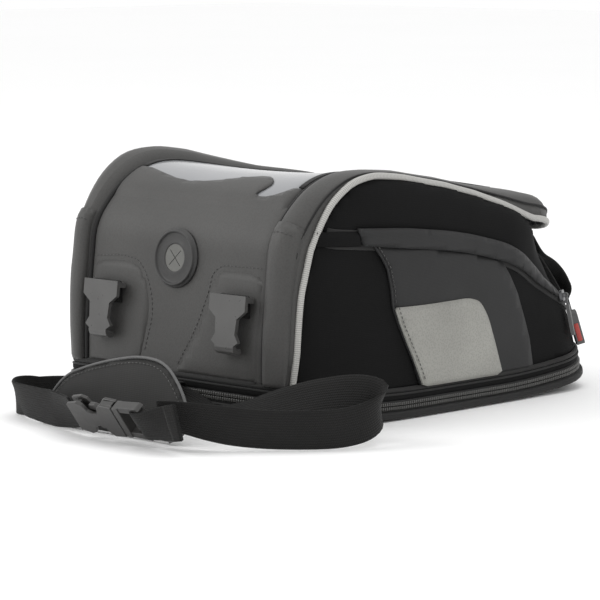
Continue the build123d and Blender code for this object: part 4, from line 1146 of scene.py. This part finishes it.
def soft_section(out, up, power=2.6, sides=16):
    """Rounded rectangle, out and up in half sizes."""
    result = []
    for k in range(sides):
        a = 2 * pi * (k + 0.5) / sides
        c, s = cos(a), sin(a)
        result.append((out * abs(c) ** (2 / power) * (1 if c > 0 else -1),
                       up * abs(s) ** (2 / power) * (1 if s > 0 else -1)))
    return result


base_ring("base_binding", 2.6, 3.0, soft_section(5.2, 2.9), BINDING, "base", "binding_dark", ("bottom_binding",))
base_ring("base_binding_edge", 6.4, 4.4, circle(1.2, 8), BINDING, "base", "binding_dark")
base_ring("base_zip_tape_lower", 2.2, 7.6, soft_section(1.8, 1.9), BINDING, "base", "coil_zip",
          ("expansion_zip_lower",))
base_ring("base_zip_tape_upper", 2.2, 13.0, soft_section(1.8, 1.5), BINDING, "bag", "coil_zip",
          ("expansion_zip_upper",))
for name, above, body in (("base_zip_teeth_lower", 8.9, "base"), ("base_zip_teeth_upper", 12.1, "bag")):
    points, normals = base_path(4.2, above)
    teeth(name, points + points[:1], normals + normals[:1], COIL, body, "coil_zip", 2.3, (1.3, 2.6, 1.7))
base_ring("base_band", 0.2, 17.4, soft_section(3.4, 3.5), NYLON, "bag", "binding_dark", ("lower_band",))
base_ring("base_band_seam", 3.0, 19.4, circle(1.0, 8), BINDING, "bag", "binding_dark")
base_ring("wall_foot_piping", 1.4, 22.4, circle(1.9, 10), BINDING, "bag", "binding_dark", ("seam_piping",))

gusset_points = base_path(-4.4, 0.0)[0]
gusset_verts = []
gusset_faces = []
LEVELS, GUSSET_TOP = 9, 46.0
for k, p in enumerate(gusset_points):
    foot = p.z + 5.5
    j = (k + 1) % len(gusset_points)
    for q in range(LEVELS):
        gusset_verts.append(Vector((p.x, p.y, foot + (GUSSET_TOP - foot) * q / (LEVELS - 1))))
        if q:
            gusset_faces.append([k * LEVELS + q - 1, k * LEVELS + q, j * LEVELS + q, j * LEVELS + q - 1])
gusset = new_mesh("expansion_gusset_cloth", gusset_verts, gusset_faces, NYLON, None, "nylon_black",
                  replaces=("expansion_gusset",))
solid(gusset, 0.8)
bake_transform(gusset)

floor_outline = [p for p, n in base_half(-9.0)]
floor_outline += [(-x, y) for x, y in reversed(floor_outline) if x > 0.5]


def quilt_height(u, v, size=44):
    return 1.1 * abs(sin(pi * (u + v) / size) * sin(pi * (u - v) / size)) ** 0.5


panel("inner_floor", floor_outline, lambda u, v, h: (u, v, rocker(v) + 20.5 + h), LINING, "base", "nylon_black",
      step=6, lift=0, edge=1.5, roll=4, thick=4.4, quilt=quilt_height, replaces=("floor_pad",))

# ------------------------------------------------------------------ hook tabs
FACE_UP = Vector((0, RUN_Y, RUN_Z)).normalized()
FACE_OUT = Vector((0, -RUN_Z, RUN_Y)).normalized()


def on_face(x, z, height):
    return Vector((x, face_y(z), z)) + FACE_OUT * height


BAR_R = 2.75   # the tab's line round the hook's bar
for side, x in (("right", 72.0), ("left", -72.0)):
    bar = on_face(x, 98, 6.3)
    loop = [on_face(x, 84, 2.2), on_face(x, 90, 2.4), on_face(x, 94.5, 3.0)]
    for a in range(-75, 190, 22):
        loop.append(bar + FACE_UP * (BAR_R * cos(radians(a))) + FACE_OUT * (BAR_R * sin(radians(a))))
    loop += [on_face(x, 93.0, 4.6), on_face(x, 89, 3.9), on_face(x, 84, 3.7)]
    tab = loft("hook_tab_" + side, loop, facing_x(loop), strap_section(29, 1.3), WEB, "bag", "webbing_black")
    if side == "right":
        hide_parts("hook_tabs")


def lathe(name, profile, centre, axis, look, body, slot, replaces=(), sides=72):
    """Closed ring turned about an axis from (radius, height) pairs."""
    axis = axis.normalized()
    first = axis.orthogonal().normalized()
    second = axis.cross(first)
    verts = []
    for k in range(sides):
        a = 2 * pi * k / sides
        spoke = first * cos(a) + second * sin(a)
        verts += [centre + spoke * r + axis * h for r, h in profile]
    return face_out(new_mesh(name, verts, ring_faces(sides, len(profile), True), look, body, slot,
                             replaces=replaces))


PORT_PROFILE = [(10.8, 0.2), (23, 0.2), (23.6, 0.8), (23.5, 2.0), (22.6, 2.7), (21.9, 3.0), (21.8, 4.6),
                (21.3, 5.2), (20.6, 5.2), (20.1, 4.6), (19.9, 3.6), (18.5, 3.3), (13.0, 3.4), (11.8, 3.9),
                (10.9, 3.5)]
lathe("cable_port_rim", PORT_PROFILE, on_face(0, 124, 0), FACE_OUT, RUBBER, "bag", "rubber_black",
      replaces=("cable_port_ring",))

# ------------------------------------------------------------------ grab loops
LOOP_PATH = rounded([(140.5, 130), (149, 125), (154.2, 118), (163, 108), (178.7, 101), (192, 90), (201.3, 76),
                     (197, 68), (189, 71.5), (172, 92), (156, 109), (146, 112)], 0.48, 6)
LOOP_PATH = resample([p.to_3d() for p in LOOP_PATH], 2.5)
for side, x in (("right", 76.0), ("left", -76.0)):
    points = [Vector((x, p.x, p.y)) for p in LOOP_PATH]
    loft("grab_loop_webbing_" + side, points, facing_x(points), strap_section(37.4, 1.8), WEB, "loop_" + side,
         "webbing_black", replaces=("grab_loop_" + side,))

# ------------------------------------------------------------------ latch spring
SPRING_START, SPRING_R, SPRING_LENGTH, SPRING_TURNS = Vector((0, -82.5, 9.4)), 1.5, 15.6, 6
turns = np.linspace(0, 2 * pi * SPRING_TURNS, 97)
coil_line = [SPRING_START + Vector((SPRING_R * cos(a), SPRING_LENGTH * a / turns[-1], SPRING_R * sin(a)))
             for a in turns]
coil = loft("latch_spring_coil", coil_line, [Vector((cos(a), 0, sin(a))) for a in turns], circle(0.35, 8), STEEL,
            "base", "steel_small", replaces=("lock_spring",))
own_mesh(coil)

# ------------------------------------------------------------------ small hard parts keep their shape
BEVELS = {"hook_right": 0.7, "hook_left": 0.7, "cable_port_membrane": 0.15, "lock_housing": 0.4, "lock_latch": 0.4,
          "zip_pull_tag": 0.6, "zip_pull_slim": 0.4, "zip_slider_tag": 0.3, "zip_slider_slim": 0.3,
          "underside_pads": 0.6, "expansion_slider": 0.3, "base_tray": 0.4}
for name, width in BEVELS.items():
    soften(NODES[name], width, 40)

# red inlay on the edge of the tag-shaped pull
TAG_PIN = Vector((123.748, 158.083, 75.299))
TAG_ALONG = Vector((-0.74314, 0.66913, 0))
TAG_OUT = Vector((0.642, 0.713, 0.282)).normalized()
TAG_UP = TAG_OUT.cross(TAG_ALONG).normalized()
if TAG_UP.z < 0:
    TAG_UP = -TAG_UP
inlay_path = [TAG_PIN - TAG_UP * (27 - v) - TAG_ALONG * 6.9 for v in np.arange(-11, 4.1, 1.5)]
loft("pull_tag_inlay", inlay_path, [-TAG_ALONG] * len(inlay_path), soft_section(0.7, 2.0), RED, "pull_tag",
     "pull_grey")

# ------------------------------------------------------------------ light, floor
world = bpy.data.worlds.new("studio")
bpy.context.scene.world = world
world.use_nodes = True
world.node_tree.nodes["Background"].inputs["Color"].default_value = (1, 1, 1, 1)
world.node_tree.nodes["Background"].inputs["Strength"].default_value = 1.0
bpy.context.scene.view_settings.view_transform = "Standard"

for name, place, size, power in (("key", (-1.5, -2.2, 1.9), 1.6, 26), ("top", (0.2, 0.4, 2.6), 2.0, 12)):
    lamp = bpy.data.lights.new(name, "AREA")
    lamp.size = size
    lamp.energy = power
    holder = bpy.data.objects.new(name, lamp)
    bpy.context.collection.objects.link(holder)
    holder.location = place
    holder.rotation_euler = (Vector(place) - Vector((0, 0, 0.08))).to_track_quat("Z", "Y").to_euler()

FLOOR_HALF = 9
floor_data = bpy.data.meshes.new("floor")
floor_data.from_pydata([(x * FLOOR_HALF, y * FLOOR_HALF, -0.0005) for x, y in ((-1, -1), (1, -1), (1, 1), (-1, 1))],
                       [], [(0, 1, 2, 3)])
floor = bpy.data.objects.new("floor", floor_data)
bpy.context.collection.objects.link(floor)
FLOOR = Look("floor", (0.98, 0.98, 0.98), 0.85)
FLOOR.shade(FLOOR.noise(0.8, 2), 0.99, 1.0)
floor.data.materials.append(FLOOR.mat)
